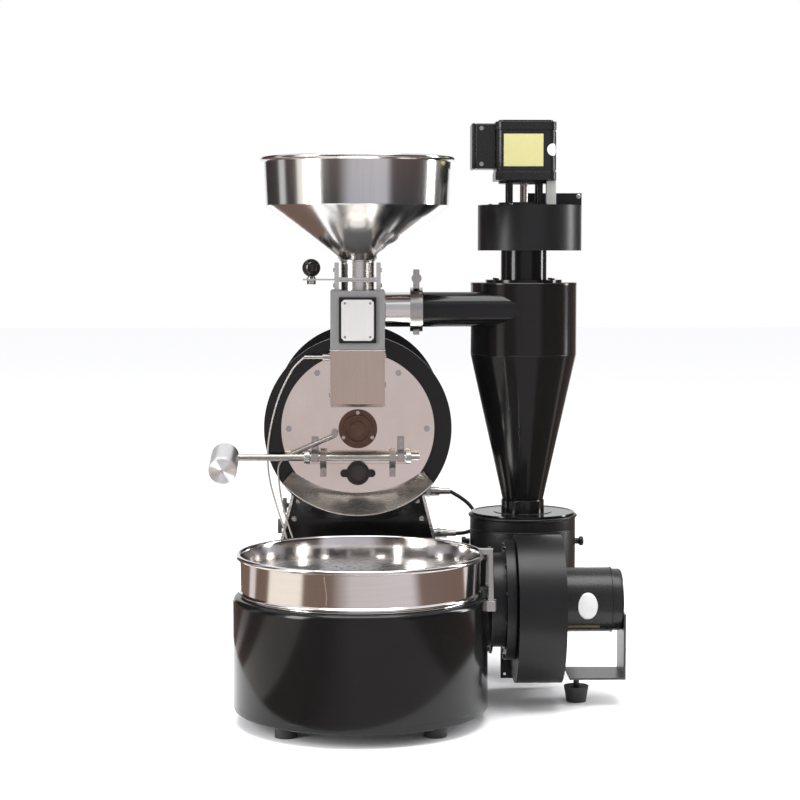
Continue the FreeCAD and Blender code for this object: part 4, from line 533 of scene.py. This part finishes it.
def circle_places(centre: Point, radius: float, angles: Iterable[float], plane: str) -> list[Point]:
    """Places round a circle.

    Args:
        centre: the circle's middle, in millimetres.
        radius: its radius.
        angles: the angles in degrees.
        plane: the two axes that it lies in, such as XZ.

    Returns:
        One place for each angle.
    """
    places = []
    for turn in map(radians, angles):
        spot = list(centre)
        spot["XYZ".index(plane[0])] += radius * cos(turn)
        spot["XYZ".index(plane[1])] += radius * sin(turn)
        places.append((spot[0], spot[1], spot[2]))
    return places


@dataclass
class Studio:
    """The camera, the pale floor and soft lights of a product photograph."""

    camera_place: Point = (-0.073, -2.94555, 0.6327)
    pitch: float = -4.2
    yaw: float = -1.045
    lens: float = 90.675
    sensor: float = 36.0
    clip: Pair = (0.05, 60.0)
    aim: Point = (0.0, 0.0, 0.45)
    softboxes: tuple[tuple[str, Point, Pair, float], ...] = (
        ("softbox_left", (-2.6, -1.7, 1.25), (0.9, 2.2), 75.0),
        ("softbox_right", (2.85, 0.55, 1.2), (0.5, 2.2), 55.0),
        ("softbox_top", (0.0, -0.6, 3.0), (2.4, 1.8), 85.0))
    floor_reach: float = 14.0
    floor_colour: Colour = (0.96, 0.96, 0.975)
    floor_roughness: float = 0.45
    room_inner: float = 0.47
    room_radius: float = 5.2
    room_lift: float = 0.002
    room_height: float = 4.2
    room_reach: float = 152.0
    room_facets: int = 48
    brown: Colour = (0.17, 0.1, 0.065)
    brown_fade: Pair = (0.15, 0.9)
    bands: tuple[tuple[float, Colour], ...] = (
        (-152, (0.03, 0.03, 0.035)), (-112, (0.05, 0.05, 0.055)), (-109, (0.7, 0.7, 0.72)),
        (-100, (0.7, 0.7, 0.72)), (-97, (0.035, 0.035, 0.04)), (-80, (0.05, 0.05, 0.055)),
        (-77, (1.0, 0.97, 0.9)), (-47, (1.0, 0.97, 0.9)), (-44, (0.06, 0.06, 0.065)),
        (-24, (0.07, 0.07, 0.075)), (-10, (0.55, 0.55, 0.6)), (34, (0.62, 0.62, 0.68)),
        (42, (0.07, 0.07, 0.08)), (96, (0.04, 0.04, 0.048)), (99, (0.85, 0.85, 0.86)),
        (104, (0.85, 0.85, 0.86)), (107, (0.045, 0.045, 0.05)), (152, (0.08, 0.08, 0.085)))

    def camera(self) -> None:
        """Set the camera at the photograph's place and angle."""
        data = bpy.data.cameras.new("photo_camera")
        data.lens, data.sensor_width = self.lens, self.sensor
        data.clip_start, data.clip_end = self.clip
        camera = placed("photo_camera", data)
        camera.location = self.camera_place
        camera.rotation_euler = (radians(90 + self.pitch), 0.0, radians(self.yaw))
        bpy.context.scene.camera = camera

    def sheet(self, name: str, corners: Sequence[Point], material: Material) -> Object:
        """A stage sheet between two rows of corners.

        Args:
            name: the sheet's name.
            corners: the first row and then the second one, in metres.
            material: what it is made of.

        Returns:
            The sheet.
        """
        mesh = bpy.data.meshes.new(name)
        count = len(corners) // 2
        faces = [(n, n + 1, n + 1 + count, n + count) for n in range(count - 1)]
        mesh.from_pydata(corners, [], faces)
        mesh.materials.append(material)
        sheet = placed(name, mesh)
        return sheet

    def banded(self) -> Material:
        """The room's material: dark walls with bright cards, browner near the floor."""
        material, graph, shader = blank_material("room_bands")
        parts = graph.add("ShaderNodeSeparateXYZ", Vector=graph.place()).outputs
        turn = graph.sum("ARCTAN2", parts["X"], graph.sum("MULTIPLY", parts["Y"], -1.0))
        whole = 2 * self.room_reach
        share = graph.sum("ADD", graph.sum("DIVIDE", turn, radians(whole)), 0.5)
        ramp = graph.add("ShaderNodeValToRGB", Fac=share)
        stops = ramp.color_ramp.elements
        for stop, (_, colour) in zip(stops, (self.bands[0], self.bands[-1])):
            stop.color = (*colour, 1.0)
        for angle, colour in self.bands[1:-1]:
            stops.new(angle / whole + 0.5).color = (*colour, 1.0)
        low, high = self.brown_fade
        near = graph.add("ShaderNodeMapRange", Value=parts["Z"], From_Min=low, From_Max=high,
                         To_Min=1.0, To_Max=0.0).outputs["Result"]
        glow = graph.mix("ADD", near, ramp.outputs["Color"], (*self.brown, 1.0))
        graph.feed(shader, {"Base Color": (0.0, 0.0, 0.0, 1.0), "Specular IOR Level": 0.0,
                            "Emission Color": glow, "Emission Strength": 1.0})
        return material

    def surroundings(self) -> None:
        """Lay the floor, and set a room that only polished pieces reflect."""
        reach = self.floor_reach
        white, graph, shader = blank_material("floor_white")
        graph.feed(shader, {"Base Color": (*self.floor_colour, 1.0),
                            "Roughness": self.floor_roughness, "Specular IOR Level": 0.0})
        self.sheet("floor", [(x, y, 0) for y in (-reach, reach) for x in (-reach, reach)], white)
        count = self.room_facets
        turns = [radians(self.room_reach * (2 * n / count - 1)) for n in range(count + 1)]
        near, wall, far = (
            [(radius * sin(t), -radius * cos(t), z) for t in turns]
            for radius, z in ((self.room_inner, self.room_lift), (self.room_radius, self.room_lift),
                              (self.room_radius, self.room_height)))
        banded = self.banded()
        for name, corners in (("room_floor", near + wall), ("room_wall", wall + far)):
            part = self.sheet(name, corners, banded)
            part.visible_camera = part.visible_diffuse = part.visible_shadow = False

    def lights(self) -> None:
        """Hang the softboxes and set the white surroundings."""
        for name, place, size, power in self.softboxes:
            data = bpy.data.lights.new(name, "AREA")
            data.shape = "RECTANGLE"
            data.size, data.size_y = size
            data.energy = power
            lamp = placed(name, data)
            lamp.location = place
            facing = Vector(self.aim) - Vector(place)
            lamp.rotation_euler = facing.to_track_quat("-Z", "Y").to_euler()
        world = bpy.data.worlds.new("white_studio")
        world.use_nodes = True
        Graph(world.node_tree).feed(world.node_tree.nodes["Background"],
                                    {"Color": (1.0, 1.0, 1.0, 1.0), "Strength": 1.0})
        bpy.context.scene.world = world
        bpy.context.scene.view_settings.view_transform = "Standard"

    def build(self) -> None:
        """Set the whole studio."""
        self.camera()
        self.surroundings()
        self.lights()


@dataclass
class Cords:
    """The gas hose and the two probe cables, each from end to end."""

    hose_radius: float = 3.0
    cable_radius: float = 1.3
    hose: Sequence[Point] = (
        (141, 165, 266), (161, 165, 255), (177, 165, 239), (184, 165, 218), (172, 165, 200.8),
        (150, 165, 201))
    upper: Sequence[Point] = (
        (-76, -40, 483), (-89, -36, 472), (-97.5, -32, 458), (-106, -27, 442), (-113, -22, 426),
        (-119, -17, 408), (-126, -12, 380), (-131, -9, 345), (-129, -7, 305), (-117, -5, 262),
        (-106, -2, 228), (-100, 0, 200), (-98, 7, 186), (-98, 18, 181))
    lower: Sequence[Point] = (
        (-97, -14, 341), (-109, -12, 335), (-116, -10, 322), (-114.5, -8, 303),
        (-112.5, -7, 284), (-108, -6, 262), (-101.5, -4, 238), (-94, -2, 216), (-88, 0, 197),
        (-86, 7, 185), (-86, 18, 181))

    def cord(self, name: str, route: Sequence[Point], radius: float, length: float,
             finish: Finish, stiffness: str) -> None:
        """Lay one cord on its route.

        Args:
            name: the CAD node's name, which the cord's own name is made from.
            route: its control points, in millimetres.
            radius: its radius in millimetres.
            length: its real length in metres; not used.
            finish: its material.
            stiffness: how stiff it is; not used.
        """
        data = bpy.data.curves.new(name + "_run", "CURVE")
        data.dimensions = "3D"
        data.bevel_depth = radius * MILLIMETRE
        data.bevel_resolution = 5
        data.resolution_u = 12
        spline = data.splines.new("NURBS")
        spline.points.add(len(route) - 1)
        for point, place in zip(spline.points, route):
            point.co = (*at(*place), 1.0)
        spline.order_u = 3
        spline.use_endpoint_u = True
        data.materials.append(FINISHES.material(finish))
        cord = placed(name + "_run", data)
        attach(cord, "base")
        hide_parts(name)
        LOG.info("laid %s", name)

    def build(self) -> None:
        """Lay the three cords."""
        self.cord("gas_hose", self.hose, self.hose_radius, 0.107, HOSE_RUBBER, "stiff")
        self.cord("cable_upper", self.upper, self.cable_radius, 0.332, SLEEVE, "medium")
        self.cord("cable_lower", self.lower, self.cable_radius, 0.182, SLEEVE, "medium")


@dataclass
class Hopper:
    """The bean hopper over its neck, with the slide gate's ball knob."""

    depth: float = -10.0
    neck: float = 23.75
    neck_top: float = 620.0
    cone: Pair = (131.0, 698.4)
    wall: float = 1.5
    mouth: float = 134.0
    rim_centre: Pair = (136.1, 764.7)
    rim_radius: float = 3.25
    knob: Point = (-66.4, -10.0, 610.0)
    ball: float = 13.2
    gate_top: float = 594.4
    guide_half: float = 33.0

    def bowl(self) -> None:
        """The cone and wall of sheet steel with a rolled rim."""
        (wide, foot), mouth, top = self.cone, self.mouth, self.rim_centre[1]
        outside = [(self.neck, self.neck_top), (wide - 1.6, foot - 1.2), (wide + 0.4, foot + 0.6),
                   (wide + 0.3, foot + 2.4), (mouth - 0.1, top - 4.2)]
        rim = arc(self.rim_centre, self.rim_radius, -110, 190, 12)
        inside = [(mouth - self.wall, top - 2.0), (wide - self.wall, foot + self.wall),
                  (self.neck - self.wall, self.neck_top)]
        Shape("hopper_sheet_bowl").turned(outside + rim + inside, (0, self.depth, 0)).piece(
            HOPPER_SHEET, replaces=("hopper_bowl",))

    def gate_handle(self) -> None:
        """The ball on its stud, with a collar above the plate and a nut below it."""
        x, y, z = self.knob
        ball = arc((0, 0), self.ball, -68, 90, 18)
        profile = [(0, ball[0][1]), *ball[:-1], (0, self.ball)]
        Shape("gate_ball").turned(profile, self.knob, steps=64).piece(KNOB_PLASTIC, "slide_gate")
        low = self.gate_top
        collar = [(0, low), (6.5, low), (6.5, low + 1.6), (5.4, low + 2.2), (4.6, z - 11.5),
                  (0, z - 11.5)]
        stud = Shape("gate_stud")
        for profile, steps in ((collar, SMALL_STEPS), (rod(6.4, low - 8, low - 2), 6),
                               (rod(3.9, low - 8, low), SMALL_STEPS)):
            stud.turned(profile, (x, y, 0), steps=steps)
        stud.piece(BRIGHT, "slide_gate", replaces=("gate_knob",), bevel=0.3)

    def fittings(self) -> None:
        """Screws that hold the guide plates, and the weld round the hopper's foot."""
        for name, side in (("guide_screws_left", -1), ("guide_screws_right", 1)):
            places = [(side * self.guide_half, self.depth + y, z)
                      for y in (-18, 18) for z in (585, 607)]
            screws(name, places, (side, 0, 0), 2.6, 1.8, socket=True)
        weld = arc((self.neck + 0.4, self.neck_top + 0.6), 1.3, -90, 90, 6)
        Shape("hopper_weld").turned(weld, (0, self.depth, 0), steps=96).piece(BRUSHED)

    def build(self) -> None:
        """Build the hopper's pieces."""
        self.bowl()
        self.gate_handle()
        self.fittings()


@dataclass
class Chute:
    """The grey chute box with its blank plate, its stub and the steel chute below."""

    half: float = 38.5
    front: float = -70.0
    back: float = 50.0
    split: float = 494.9
    foot: float = 516.0
    top: float = 578.4
    stub_height: float = 549.5
    stub_depth: float = 20.0
    stub_radius: float = 25.4
    stub_end: float = 85.0
    stub_wall: float = 1.5
    plate_centre: float = 536.8
    plate_half: Pair = (23.0, 29.0)
    plate_clip: float = 4.0
    plate_screw: float = 5.2

    def box(self) -> None:
        """The folded box, as its CAD node, with the steel stub on its right side."""
        outline = [(self.front, self.split), (0, self.split), (0, self.foot),
                   (self.back, self.foot), (self.back, self.top), (self.front, self.top)]
        Shape("chute_box_painted").prism(outline, -self.half, self.half, "X").piece(
            GREY_PAINT, replaces=("chute_box",), bevel=1.1)
        inner = self.stub_radius - self.stub_wall
        tube = [(self.stub_radius, self.half - 1), (self.stub_radius, self.stub_end),
                (inner, self.stub_end), (inner, self.half - 1)]
        weld = arc((self.stub_radius + 0.2, self.half + 0.4), 1.5, -90, 90, 6)
        stub = Shape("chaff_stub_tube")
        for profile in (tube, weld):
            stub.turned(profile, (0, self.stub_depth, self.stub_height), (1, 0, 0), 96)
        stub.piece(POLISHED, bevel=0.3)

    def plate(self) -> None:
        """A bare plate with clipped corners and four screws, for its black frame."""
        wide, tall = self.plate_half
        clip = self.plate_clip
        outline = [(-wide + clip, -tall), (wide - clip, -tall), (wide, -tall + clip),
                   (wide, tall - clip), (wide - clip, tall), (-wide + clip, tall),
                   (-wide, tall - clip), (-wide, -tall + clip)]
        outline = [(x, z + self.plate_centre) for x, z in outline]
        Shape("blank_plate").prism(outline, self.front - 2.7, self.front - 1.4, "Y").piece(
            NAME_SHEET, bevel=0.25)
        wide, tall = wide - self.plate_screw, tall - self.plate_screw
        places = [(x * wide, self.front - 2.6, self.plate_centre + z * tall)
                  for x in (-1, 1) for z in (-1, 1)]
        screws("plate_screws", places, (0, -1, 0), 1.7, 0.4, socket=True)

    def lower(self) -> None:
        """Screws on the steel chute, and the lip where the box meets it."""
        for name, side, spots in (
                ("chute_left_screws", -1, ((-58, 486), (-12, 486), (-58, 430))),
                ("chute_right_screws", 1, ((-58, 486), (-12, 486), (-30, 442)))):
            screws(name, [(side * self.half, y, z) for y, z in spots], (side, 0, 0), 3.0, 2.2)
        Shape("chute_joint_lip").block(
            (-self.half - 0.6, self.front - 0.6, self.split - 1.4),
            (self.half + 0.6, -0.5, self.split - 0.2)).piece(BRUSHED, bevel=0.3)

    def build(self) -> None:
        """Build the chute's pieces."""
        self.box()
        self.plate()
        self.lower()


@dataclass
class Door:
    """The discharge door's counterweight, and the collars on its lift shaft."""

    weight_place: Point = (-191.0, -17.27, 340.07)
    weight_axis: Point = (0.0, -0.9659, -0.2588)
    weight_radius: float = 20.0
    weight_length: float = 62.0
    hinge: Pair = (-25.0, 338.0)
    collar_reach: float = 73.0

    def weight(self) -> None:
        """The turned counterweight, with a chamfer, a groove and a centre mark."""
        radius, length = self.weight_radius, self.weight_length
        groove = [(radius, length - 5.5), (radius - 0.7, length - 5.1),
                  (radius - 0.7, length - 4.3), (radius, length - 3.9)]
        profile = [(0, 0), (radius - 1, 0), (radius, 1), *groove, (radius, length - 1.2),
                   (radius - 1.2, length), (3.2, length), (1.2, length - 1.8), (0, length - 1.8)]
        Shape("turned_weight").turned(profile, self.weight_place, self.weight_axis, 96).piece(
            ALUMINIUM, "door", replaces=("counterweight",))

    def build(self) -> None:
        """Build the weight, and the collars outside the hinge brackets."""
        self.weight()
        collar = [(5.0, -4), (8.4, -4), (8.8, -3.4), (8.8, 3.4), (8.4, 4), (5.0, 4)]
        shape = Shape("shaft_collars")
        for side in (-1, 1):
            shape.turned(collar, (side * self.collar_reach, *self.hinge), (1, 0, 0), 48)
        shape.piece(BRIGHT, "door")


@dataclass
class ChaffCollector:
    """The chaff duct, the cyclone with its fan and motor, and the can below."""

    centre: Pair = (245.4, 73.0)
    wall: float = 1.5
    foot: float = 247.7
    waist: float = 265.7
    shoulder: float = 482.0
    top: float = 588.0
    throat: float = 29.7
    barrel: float = 78.6
    fan_top: float = 701.4
    motor_base: float = 737.0
    motor_half: float = 44.5
    motor_top: float = 824.4
    motor_corner: float = 11.0
    body_inset: float = 1.2
    can_radius: float = 79.0
    can_base: float = 78.0
    can_top: float = 244.7
    flange: tuple[Pair, Pair] = ((247.0, 634.9), (339.0, 721.6))
    flange_screw: float = 4.5

    def spot(self, z: float = 0.0) -> Point:
        """A point on the cyclone's axis."""
        return (*self.centre, z)

    def cyclone(self) -> None:
        """The cyclone's barrel and cone, with weld seams and a lipped top."""
        throat, barrel, shoulder, top = self.throat, self.barrel, self.shoulder, self.top
        outside = [(throat, self.foot), (throat, self.waist - 1), (throat + 0.8, self.waist),
                   (throat + 1.0, self.waist + 1.5), (barrel - 0.7, shoulder - 2)]
        outside += arc((barrel - 0.6, shoulder), 0.6, -60, 80, 5)
        outside += [(barrel - 0.3, shoulder + 2), (barrel - 0.3, top - 5), (barrel, top - 4),
                    (barrel, top - 0.8), (barrel - 0.8, top)]
        inside = [(30, top), (30, top - 2), (barrel - 2, top - 2), (barrel - 2, shoulder),
                  (throat - self.wall, self.waist), (throat - self.wall, self.foot)]
        Shape("cyclone_shell").turned(outside + inside, self.spot()).piece(
            GLOSS_BLACK, replaces=("cyclone_body",))

    def fan(self) -> None:
        """The fan casing's screws, and the small block under the motor."""
        (left, low), (right, high) = self.flange
        inset = self.flange_screw
        places = [(x, self.centre[1] + 77, z) for x in (left + inset, right - inset)
                  for z in (low + inset, high - inset)]
        screws("exhaust_flange_screws", places, (0, -1, 0), 3.0, 2.2)
        rim = circle_places(self.spot(self.fan_top), 54, range(20, 250, 45), "XY")
        screws("fan_cover_screws", rim, (0, 0, 1), 2.6, 1.8, socket=True)
        Shape("lantern_block").block((276, 42, self.fan_top), (290, 58, 736.9)).piece(
            GREY_PLASTIC, bevel=1.0)

    def square(self, inset: float, corner: float) -> list[Pair]:
        """The motor's outline with rounded corners, drawn in by an inset."""
        reach = self.motor_half - inset - corner
        spots: list[Pair] = []
        for n, (across, along) in enumerate(((1, 1), (-1, 1), (-1, -1), (1, -1))):
            middle = (self.centre[0] + across * reach, self.centre[1] + along * reach)
            spots += arc(middle, corner, 90 * n, 90 * n + 90, 6)
        return spots

    def motor(self) -> None:
        """The motor's rounded body between two end bells, with its terminal box."""
        x, y = self.centre
        half, low, high = self.motor_half, self.motor_base, self.motor_top
        body = Shape("motor_body")
        for inset, corner, start, end in (
                (self.body_inset, self.motor_corner, low + 12, high - 14),
                (0.0, 12.0, low, low + 12.2), (0.0, 12.0, high - 14.2, high - 2.4),
                (5.0, 9.0, high - 2.5, high)):
            body.prism(self.square(inset, corner), start, end, "Z")
        for n in range(9):
            depth = y - half + 14 + n * 7.6
            body.block((x + half - 1.3, depth, low + 15), (x + half - 0.1, depth + 2.2, high - 17))
        body.piece(CAST_BLACK, replaces=("exhaust_motor",), bevel=0.9)
        left, right = x - half - 34, x - half + 1.6
        box = Shape("terminal_box")
        box.block((left + 5, y - 26.4, low + 17), (right, y + 26.4, low + 83))
        box.block((left, y - 27, low + 16.5), (left + 5.6, y + 27, low + 83.5))
        box.piece(CAST_BLACK, bevel=2.2)
        edge = [(left + 14, y - 26.4, z) for z in (low + 24, low + 76)]
        screws("box_screws", edge, (0, -1, 0), 2.4, 0.6, socket=True)
        corners = [(x + dx * 31, y + dy * 31, high - 2.5) for dx in (-1, 1) for dy in (-1, 1)]
        screws("motor_tie_bolts", corners, (0, 0, 1), 3.2, 2.2)

    def labels(self) -> None:
        """Bare labels: a pale one on the front and a round one over the corner."""
        x, y = self.centre
        front = y - self.motor_half
        Shape("front_label").block(
            (x - 33, front + 0.85, self.motor_base + 20),
            (x + 24.6, front + 1.25, self.motor_base + 67)).piece(YELLOW_LABEL, bevel=0.15)
        radius, corner = 9.0, self.motor_corner + 0.1
        middle = (x + self.motor_half - self.body_inset - self.motor_corner,
                  y - self.motor_half + self.body_inset + self.motor_corner)
        rows = []
        for n in range(13):
            across = radius * sin(pi * (n / 12 - 0.5))
            reach = sqrt(max(radius ** 2 - across ** 2, 0.01))
            turn = radians(-55) + across / corner
            foot = (middle[0] + corner * cos(turn), middle[1] + corner * sin(turn))
            rows.append([at(*foot, self.motor_base + 44 + reach * step / 4)
                         for step in range(-4, 5)])
        Shape("round_label").patch(rows).piece(WHITE_LABEL, thick=0.1)

    def can(self) -> None:
        """The chaff can with its beads and side knobs, and the lid with its collar."""
        radius, base, top = self.can_radius, self.can_base, self.can_top
        side = radius - 0.5
        outside = [(0, base), (radius - 2, base), (side, base + 1.5), (side, base + 11)]
        outside += arc((radius - 1.2, base + 14), 1.2, -70, 70, 5) + [(side, base + 17)]
        outside += [(side, top - 24)] + arc((radius - 1.2, top - 21), 1.2, -70, 70, 5)
        outside += [(side, top - 18), (side, top - 5.4)]
        outside += arc((radius - 0.2, top - 2.6), 2.2, -80, 90, 7)
        inside = [(70, top), (70, top - 1.5), (radius - 2, top - 1.5), (radius - 2, base + 1.6),
                  (0, base + 1.6)]
        can = Shape("can_shell").turned(outside + inside, self.spot())
        knob = [(0, 0), (4.5, 0), (4.5, 5), (7, 6.4), (7, 10.8), (5.6, 12), (0, 12)]
        x, y = self.centre
        for way in (-1, 1):
            can.turned(knob, (x + way * radius, y, 202), (way, 0, 0), 40)
        can.piece(SATIN_BLACK, replaces=("chaff_can",))
        lid = [(28.2, 0), (76, 0), (77, 0.9), (76.4, 2.9), (72, 3), (71, 2.2), (44, 2.2), (43, 3),
               (32.0, 3), (32.0, 20), (31.4, 21), (30.2, 20.6), (30.2, 3), (28.2, 3)]
        Shape("can_cover").turned([(wide, top + z) for wide, z in lid], self.spot()).piece(
            GLOSS_BLACK, replaces=("can_lid",))

    def build(self) -> None:
        """Build the pieces of the chaff collector."""
        self.cyclone()
        self.fan()
        self.motor()
        self.labels()
        self.can()


@dataclass
class Stand:
    """The screws of the stand under the drum, and the nuts of its gas fittings."""

    front: float = 30.0
    length: float = 370.0
    floor_half: float = 166.4
    slope: float = 0.2467
    gas_depth: float = 165.0
    gas_heights: Pair = (266.0, 201.0)

    def half_at(self, height: float) -> float:
        """Half the stand's width at a height."""
        return self.floor_half - self.slope * height

    def build(self) -> None:
        """Add the screws and the nuts."""
        edges = [(side * (self.half_at(z) - 13), z)
                 for side in (-1, 1) for z in (242, 268, 130, 45)]
        for name, depth, way in (("panel_screws", self.front, -1),
                                 ("rear_screws", self.front + self.length, 1)):
            screws(name, [(x, depth, z) for x, z in edges], (0, way, 0), 2.8, 2.0)
        nuts = Shape("gas_nuts")
        for height in self.gas_heights:
            start = self.half_at(height) + 1
            for radius, long, gap in ((8.4, 6, 2.5), (7.6, 5, 12)):
                nuts.turned(rod(radius, 0, long), (start + gap, self.gas_depth, height),
                            (1, 0, 0), 6)
        nuts.piece(BRIGHT, bevel=0.4)


@dataclass
class CoolingBin:
    """The cooling bowl over its bin, with the draw latch's ears."""

    centre: Pair = (4.0, -213.0)
    radius: float = 171.9
    base: float = 17.6
    top: float = 173.0
    mouth: float = 158.0
    bowl_foot: float = 161.0
    bowl: float = 162.5
    bowl_top: float = 229.0
    wall: float = 1.5
    sieve: float = 187.0
    steps: int = 192
    latch_turn: float = 8.0
    latch_height: float = 160.0
    pin_reach: float = 177.4
    ear_gap: float = 6.9
    ear_half: float = 0.85
    seam_turn: float = -106.0

    def spot(self, z: float = 0.0) -> Point:
        """A point on the bin's axis."""
        return (*self.centre, z)

    def shell(self) -> None:
        """The bin with its rounded shoulder, and the hem near its foot."""
        low, high, radius = self.base, self.top, self.radius
        outside = [(0, low), (radius - 5, low), (radius - 3, low + 0.3), (radius - 0.6, low + 2),
                   (radius, low + 4), *arc((radius - 8, high - 8), 8, 0, 90, 9)]
        inside = [(self.mouth, high), (self.mouth, high - 2), (radius - 8, high - 2),
                  (radius - 2, high - 8), (radius - 2, low + 2), (0, low + 2)]
        Shape("bin_enamel").turned(outside + inside, self.spot(), steps=self.steps).piece(
            GLOSS_BLACK, replaces=("bin_shell",))
        hem = [(radius - 0.6, 0.0), *arc((radius - 0.45, 0.9), 0.5, -70, 70, 4),
               (radius - 0.6, 1.8)]
        Shape("bin_hem").turned(hem, self.spot(low + 9), steps=self.steps).piece(GLOSS_BLACK)

    def ears(self) -> None:
        """The latch's two ears and their pin, turned to the latch's place on the rim."""
        x, y = self.centre
        height, half = self.latch_height, self.ear_half
        ears = Shape("latch_ears")
        for side in (-self.ear_gap, self.ear_gap):
            ears.block((x + self.radius - 1, y + side - half, height - 7),
                       (x + self.radius + 11.3, y + side + half, height + 7))
        ears.turned(rod(2.0, -7.7, 7.7), (x + self.pin_reach, y, height), (0, 1, 0), SMALL_STEPS)
        middle = at(*self.spot())
        spin = Matrix.Rotation(-radians(self.latch_turn), 4, "Z")
        move = Matrix.Translation(middle) @ spin @ Matrix.Translation(-middle)
        bmesh.ops.transform(ears.mesh, matrix=move, verts=ears.mesh.verts)
        ears.piece(BRIGHT, bevel=0.4)

    def bowl_sheet(self) -> None:
        """The bowl's wall with its rolled rim, foot bead and sieve ledge."""
        foot, wide, low, top = self.bowl_foot, self.bowl, self.top, self.bowl_top
        outside = [(foot, low), (foot + 1.9, low + 0.6),
                   *arc((foot + 0.2, low + 3.4), 2.6, -60, 60, 6),
                   (foot + 0.3, low + 7.0), (wide, top - 8)]
        rim = arc((wide + 2.2, top - 3.3), 3.25, -130, 180, 12)
        inner, sieve = foot - self.wall, self.sieve
        inside = [(wide - self.wall, top - 5.5), (inner, sieve), (inner - 8, sieve),
                  (inner - 8, sieve - 1.5), (inner, sieve - 1.5), (inner, low)]
        Shape("bowl_sheet").turned(outside + rim + inside, self.spot(), steps=self.steps).piece(
            POLISHED, replaces=("cooling_bowl",))

    def bowl_seam(self) -> None:
        """The welded joint down the bowl's front, to the left of its middle."""
        low, high = self.top + 7.5, self.bowl_top - 8.5
        foot, (x, y) = self.bowl_foot + 0.3, self.centre
        rows = []
        for share in (step / 12 for step in range(13)):
            reach = foot + share * (self.bowl - foot)
            turn = radians(self.seam_turn + 0.5 * sin(4.5 * share))
            angles = [turn + side * 0.55 / reach for side in (-1, 0, 1)]
            rows.append([at(x + reach * cos(angle), y + reach * sin(angle),
                            low + share * (high - low)) for angle in angles])
        Shape("bowl_seam").patch(rows).piece(PAINTED_REFLECTION_AND_SEAM_SHEET, thick=0.3)

    def build(self) -> None:
        """Build the bin's and the bowl's pieces."""
        self.shell()
        self.ears()
        self.bowl_sheet()
        self.bowl_seam()


@dataclass
class Blower:
    """The cooling blower's screws and its motor beside the bin, with bare labels."""

    depth: float = -107.0
    height: float = 145.0
    motor_face: float = 285.0
    motor_radius: float = 45.9
    motor_length: float = 85.0

    def motor(self) -> None:
        """The motor's drum between its mounting rim and its end cap."""
        radius, length = self.motor_radius, self.motor_length
        body = [(0, 0), (radius, 0), (radius, 2.6), (radius - 0.7, 3.2),
                (radius - 0.7, length - 16.4), (radius, length - 15.8), (radius, length - 14),
                (radius - 2.4, length - 13.6), *arc((radius - 6.4, length - 4), 4.0, 0, 90, 6),
                (0, length)]
        Shape("blower_motor_body").turned(
            body, (self.motor_face, self.depth, self.height), (1, 0, 0), 128).piece(
            CAST_BLACK, replaces=("blower_motor",))

    def wrapped(self, name: str, middle: float, half: Pair, turn: float, oval: bool,
                finish: Finish) -> None:
        """A bare label laid round the motor's drum.

        Args:
            name: the label's name.
            middle: its middle along the motor, in millimetres.
            half: half its length along the motor and half its height.
            turn: the angle of its middle above the front, in degrees.
            oval: whether it is oval or has straight edges.
            finish: its material.
        """
        radius = self.motor_radius - 0.62
        rows = []
        for n in range(17):
            share = sin(pi * (n / 16 - 0.5))
            reach = half[1] * (sqrt(max(1 - share ** 2, 0.004)) if oval else 1)
            angles = [radians(turn) + reach * step / 6 / radius for step in range(-6, 7)]
            rows.append([at(middle + half[0] * share, self.depth - radius * cos(angle),
                            self.height + radius * sin(angle)) for angle in angles])
        Shape(name).patch(rows).piece(finish, thick=0.12)

    def build(self) -> None:
        """Build the blower's pieces."""
        self.motor()
        self.wrapped("oval_label", 319.0, (13.5, 19.5), -3.0, True, WHITE_LABEL)
        self.wrapped("motor_strip", 314.0, (23.0, 2.6), -47.0, False, OLIVE_STRIP)
        for name, x, radius, angles in (("duct_screws", 184.0, 70.4, range(0, 360, 45)),
                                        ("cover_screws", 205.0, 79.4, range(15, 375, 30))):
            places = circle_places((x, self.depth, self.height), radius, angles, "YZ")
            screws(name, places, (-1, 0, 0), 2.6, 2.5)


def main() -> None:
    """Dress the CAD nodes, then build the studio and every sub-assembly in order."""
    logging.basicConfig(level=logging.INFO, format="%(name)s: %(message)s")
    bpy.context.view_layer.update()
    for finish, nodes in DRESSED.items():
        FINISHES.dress(finish, *nodes)
    for part in (Studio(), Cords(), Hopper(), Chute(), Door(), ChaffCollector(), Stand(),
                 CoolingBin(), Blower()):
        part.build()
        LOG.info("finished %s", type(part).__name__)
    bpy.context.view_layer.update()


if __name__ == "__main__":
    main()
